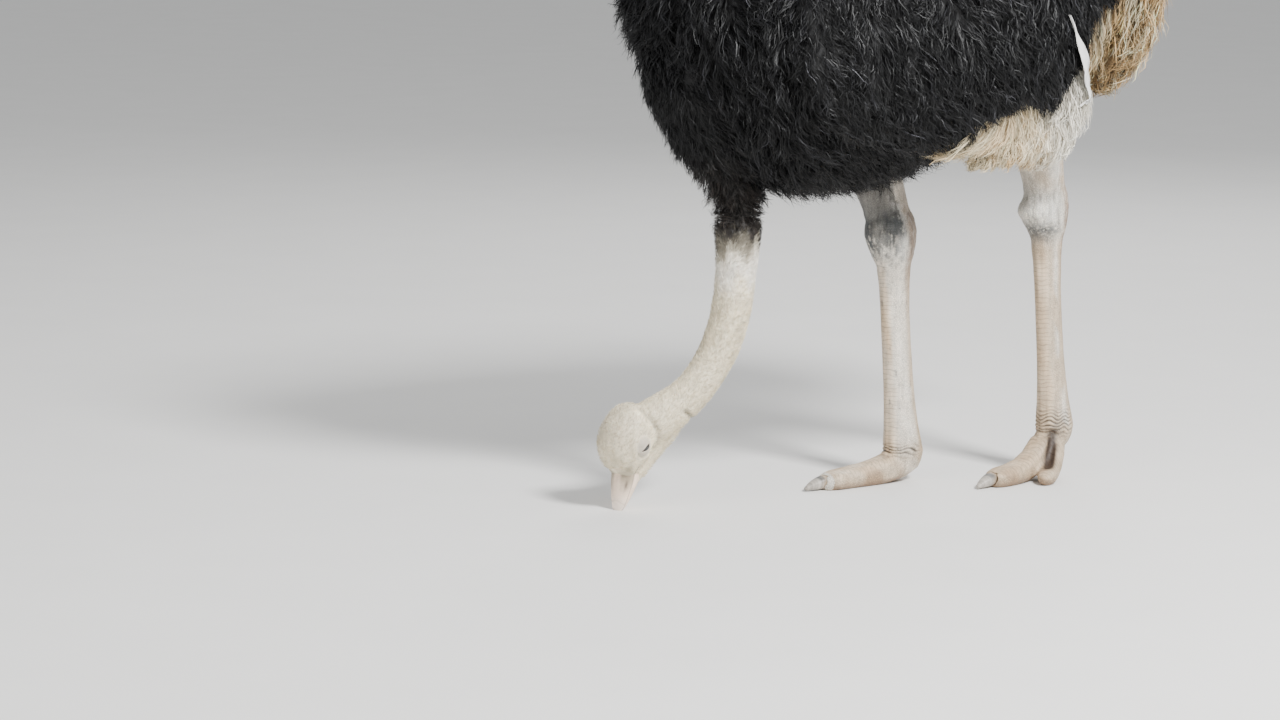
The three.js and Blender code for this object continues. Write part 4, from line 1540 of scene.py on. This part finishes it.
def quill_piece(name, side, made, colour):
    """Long white quills: close barbs on each side of shafts that lie over one another."""
    rng = np.random.default_rng(290 + side)
    under, outward, depth = quill_line(side)
    fall = np.linspace(0, 1, len(under))
    stations = len(BARB_HALVES)
    steps = np.linspace(0, 1, stations)[None, :, None]
    spots, edges, places = [], [], []
    for layer in range(QUILL_LAYERS):
        share = np.linspace(0.0, 0.78 + 0.05 * layer, QUILL_BARBS)
        height = depth * 1.05 + 0.003 + 0.0015 * layer + 0.003 * fall
        shaft = through(under + outward * height[:, None], share)
        facing = unit(through(outward, share))
        face = skin().under(shaft)[3]
        along = unit(np.gradient(shaft, axis=0))
        across = unit(np.cross(along, facing))
        shaft = shaft + across * (side * 0.0050 * (layer - 1) * eased(share, 0.0, 0.45)[:, None])
        swing = eased(share, -0.05, 0.45) * (1 - 0.75 * eased(share / share[-1], 0.6, 1.0))
        for turn in (-1, 1):
            length = BARB_LENGTH * swing * rng.uniform(0.94, 1.06, QUILL_BARBS)
            way = unit(across * turn + along * 1.1)
            droop = along[:, None] * steps**2 * 0.35 - facing[:, None] * steps**2 * 0.25
            spots.append(shaft[:, None] + (way[:, None] * steps + droop) * length[:, None, None])
            edges.append(np.repeat(along[:, None], stations, axis=1))
            places.append(skin().unwrap[face].mean(axis=1))
    spots, edges, places = (np.concatenate(part) for part in (spots, edges, places))
    tone = np.array(colour) * np.exp(rng.normal(0, 0.03, (len(spots), 1)))
    half = np.array(BARB_HALVES)[:, None]
    mesh = strand_mesh(name, spots, edges, half, tone, places, root=0.6)
    return piece_from(name, mesh, made, "white_plumes")


class OSTRICH_OT_wing_plumes(Maker, bpy.types.Operator):
    """Grow the white plumes behind and under each folded wing"""

    bl_idname = "ostrich.wing_plumes"
    bl_label = "Wing plumes"

    def make(self, sizes, colours):
        made = feather_material("white plumes", 0.6, 0.1, 0.62)
        hide = skin()

        def colour_of(points):
            return plume_markings(points, colours)

        for number, (name, side) in enumerate(SIDES.items()):
            mine = hide.white() & (hide.centres[:, 0] * side > 0)
            coat_piece(
                f"white_plumes_{name}", mine, plume_lie, PLUMES, 200 + number * 10, made,
                "white_plumes", colour_of, (f"wing_plumes_{name}",), reach_of=plume_reach,
            )
            quill_piece(f"white_quills_{name}", side, made, colours.quill)


class OSTRICH_OT_tail_plumes(Maker, bpy.types.Operator):
    """Grow the tan plumes of the tail"""

    bl_idname = "ostrich.tail_plumes"
    bl_label = "Tail plumes"

    def make(self, sizes, colours):
        made = feather_material("tan plumes", 0.65, 0.1, 0.16)

        def colour_of(points):
            return tail_markings(points, colours)

        coat_piece(
            "tail_plumes", skin().tan(), tail_lie, TAIL, 230, made, "tan_plumes", colour_of, ("tail",)
        )


class OSTRICH_OT_fuzz(Maker, bpy.types.Operator):
    """Grow the short fuzz of the head and the neck"""

    bl_idname = "ostrich.fuzz"
    bl_label = "Head and neck fuzz"

    def make(self, sizes, colours):
        made = feather_material("fuzz", 0.7, 0.15, 0.85)
        hide = skin()
        chosen = hide.on(*FUZZY)
        for name in SIDES:
            from_eye = np.linalg.norm(hide.centres - middle_of(f"eye_{name}"), axis=1)
            chosen &= from_eye > FUZZ_FROM_EYE
        chosen &= head_distances(hide.centres)[0] < 0.05
        chosen &= head_folds(hide.centres)[1] < 0.42

        # The fuzz carries the skin's painted shade of the folds.
        def colour_of(points):
            return shaded(markings(scattered(points), colours), head_folds(points)[1])

        def reach_of(points):
            return 0.62 + 0.38 * eased(-head_distances(points)[0], 0.04, 0.14)

        coat_piece("neck_fuzz", chosen, fuzz_lie, FUZZ, 260, made, "skin", colour_of, reach_of=reach_of)


# ---- the stage ----

CAMERA_PLACE = (6.290, -3.843, 1.5)
CAMERA_YAW = math.radians(152.653)
CAMERA_PITCH = math.radians(9.438)  # down
LENS, SENSOR = 97.03, 36  # mm
AIM = (0, 0, 0.8)  # what every lamp faces
LAMPS = {  # places, sizes and powers
    "key": ((4.3, 0.6, 4.4), 1.3, 740.0),
    "fill": ((1.5, -6.0, 3.0), 4.0, 90.0),
    "rim": ((-3.5, 3.0, 4.0), 3.0, 120.0),
}
FLOOR_DARK = (0.78, 0.77, 0.75)
FLOOR_PALE = (0.83, 0.82, 0.80)
SKY = (0.96, 0.98, 1.0)


def stand(name, data, place, look):
    """Sets up a lamp or camera at a place, facing the way it looks."""
    made = linked(name, data)
    made.location = place
    made.rotation_euler = look.to_track_quat("-Z", "Y").to_euler()
    return made


class OSTRICH_OT_stage(Maker, bpy.types.Operator):
    """Set up the floor, the soft lights and the camera"""

    bl_idname = "ostrich.stage"
    bl_label = "Stage"

    def make(self, sizes, colours):
        bpy.ops.mesh.primitive_plane_add(size=60)
        floor = bpy.context.object
        floor.name = "floor"
        made, nodes, shader = material("floor")
        speckle = nodes.noise(nodes.place(), 4.0, 6.0)
        colour = nodes.mix(speckle, rgba(FLOOR_DARK), rgba(FLOOR_PALE))
        nodes.fill(shader, {"Base Color": colour, "Roughness": 0.9})
        floor.data.materials.append(made)
        world = bpy.data.worlds.new("studio")
        world.use_nodes = True
        sky = world.node_tree.nodes["Background"].inputs
        sky["Color"].default_value = rgba(SKY)
        sky["Strength"].default_value = 0.60
        bpy.context.scene.world = world
        for name, (place, size, power) in LAMPS.items():
            lamp = bpy.data.lights.new(name, "AREA")
            lamp.size = size
            lamp.energy = power
            stand(name, lamp, place, Vector(AIM) - Vector(place))
        level = math.cos(CAMERA_PITCH)
        look = (math.cos(CAMERA_YAW) * level, math.sin(CAMERA_YAW) * level, -math.sin(CAMERA_PITCH))
        camera = stand("camera", bpy.data.cameras.new("camera"), CAMERA_PLACE, Vector(look))
        camera.data.sensor_width = SENSOR
        camera.data.lens = LENS
        camera.data.clip_end = 200
        bpy.context.scene.camera = camera


# ---- the panel ----

STEPS = (
    OSTRICH_OT_stage, OSTRICH_OT_skin, OSTRICH_OT_eyes, OSTRICH_OT_bill, OSTRICH_OT_claws,
    OSTRICH_OT_black_plumage, OSTRICH_OT_wing_plumes, OSTRICH_OT_tail_plumes, OSTRICH_OT_fuzz,
)


class OSTRICH_PT_panel(bpy.types.Panel):
    """Lists the ostrich's pieces"""

    bl_idname = "OSTRICH_PT_panel"
    bl_label = "Feeding ostrich"
    bl_space_type = "VIEW_3D"
    bl_region_type = "UI"
    bl_category = "Ostrich"

    def draw(self, context):
        for group in (context.scene.ostrich_sizes, context.scene.ostrich_colours):
            for name in group.__annotations__:
                self.layout.prop(group, name)
        for step in STEPS:
            self.layout.operator(step.bl_idname)


CLASSES = (OSTRICH_PG_sizes, OSTRICH_PG_colours, *STEPS, OSTRICH_PT_panel)


def register():
    for cls in CLASSES:
        bpy.utils.register_class(cls)
    bpy.types.Scene.ostrich_sizes = PointerProperty(type=OSTRICH_PG_sizes)
    bpy.types.Scene.ostrich_colours = PointerProperty(type=OSTRICH_PG_colours)


def unregister():
    del bpy.types.Scene.ostrich_colours
    del bpy.types.Scene.ostrich_sizes
    for cls in reversed(CLASSES):
        bpy.utils.unregister_class(cls)


def main():
    register()
    for step in STEPS:
        area, name = step.bl_idname.split(".")
        getattr(getattr(bpy.ops, area), name)()


if __name__ == "__main__":
    main()
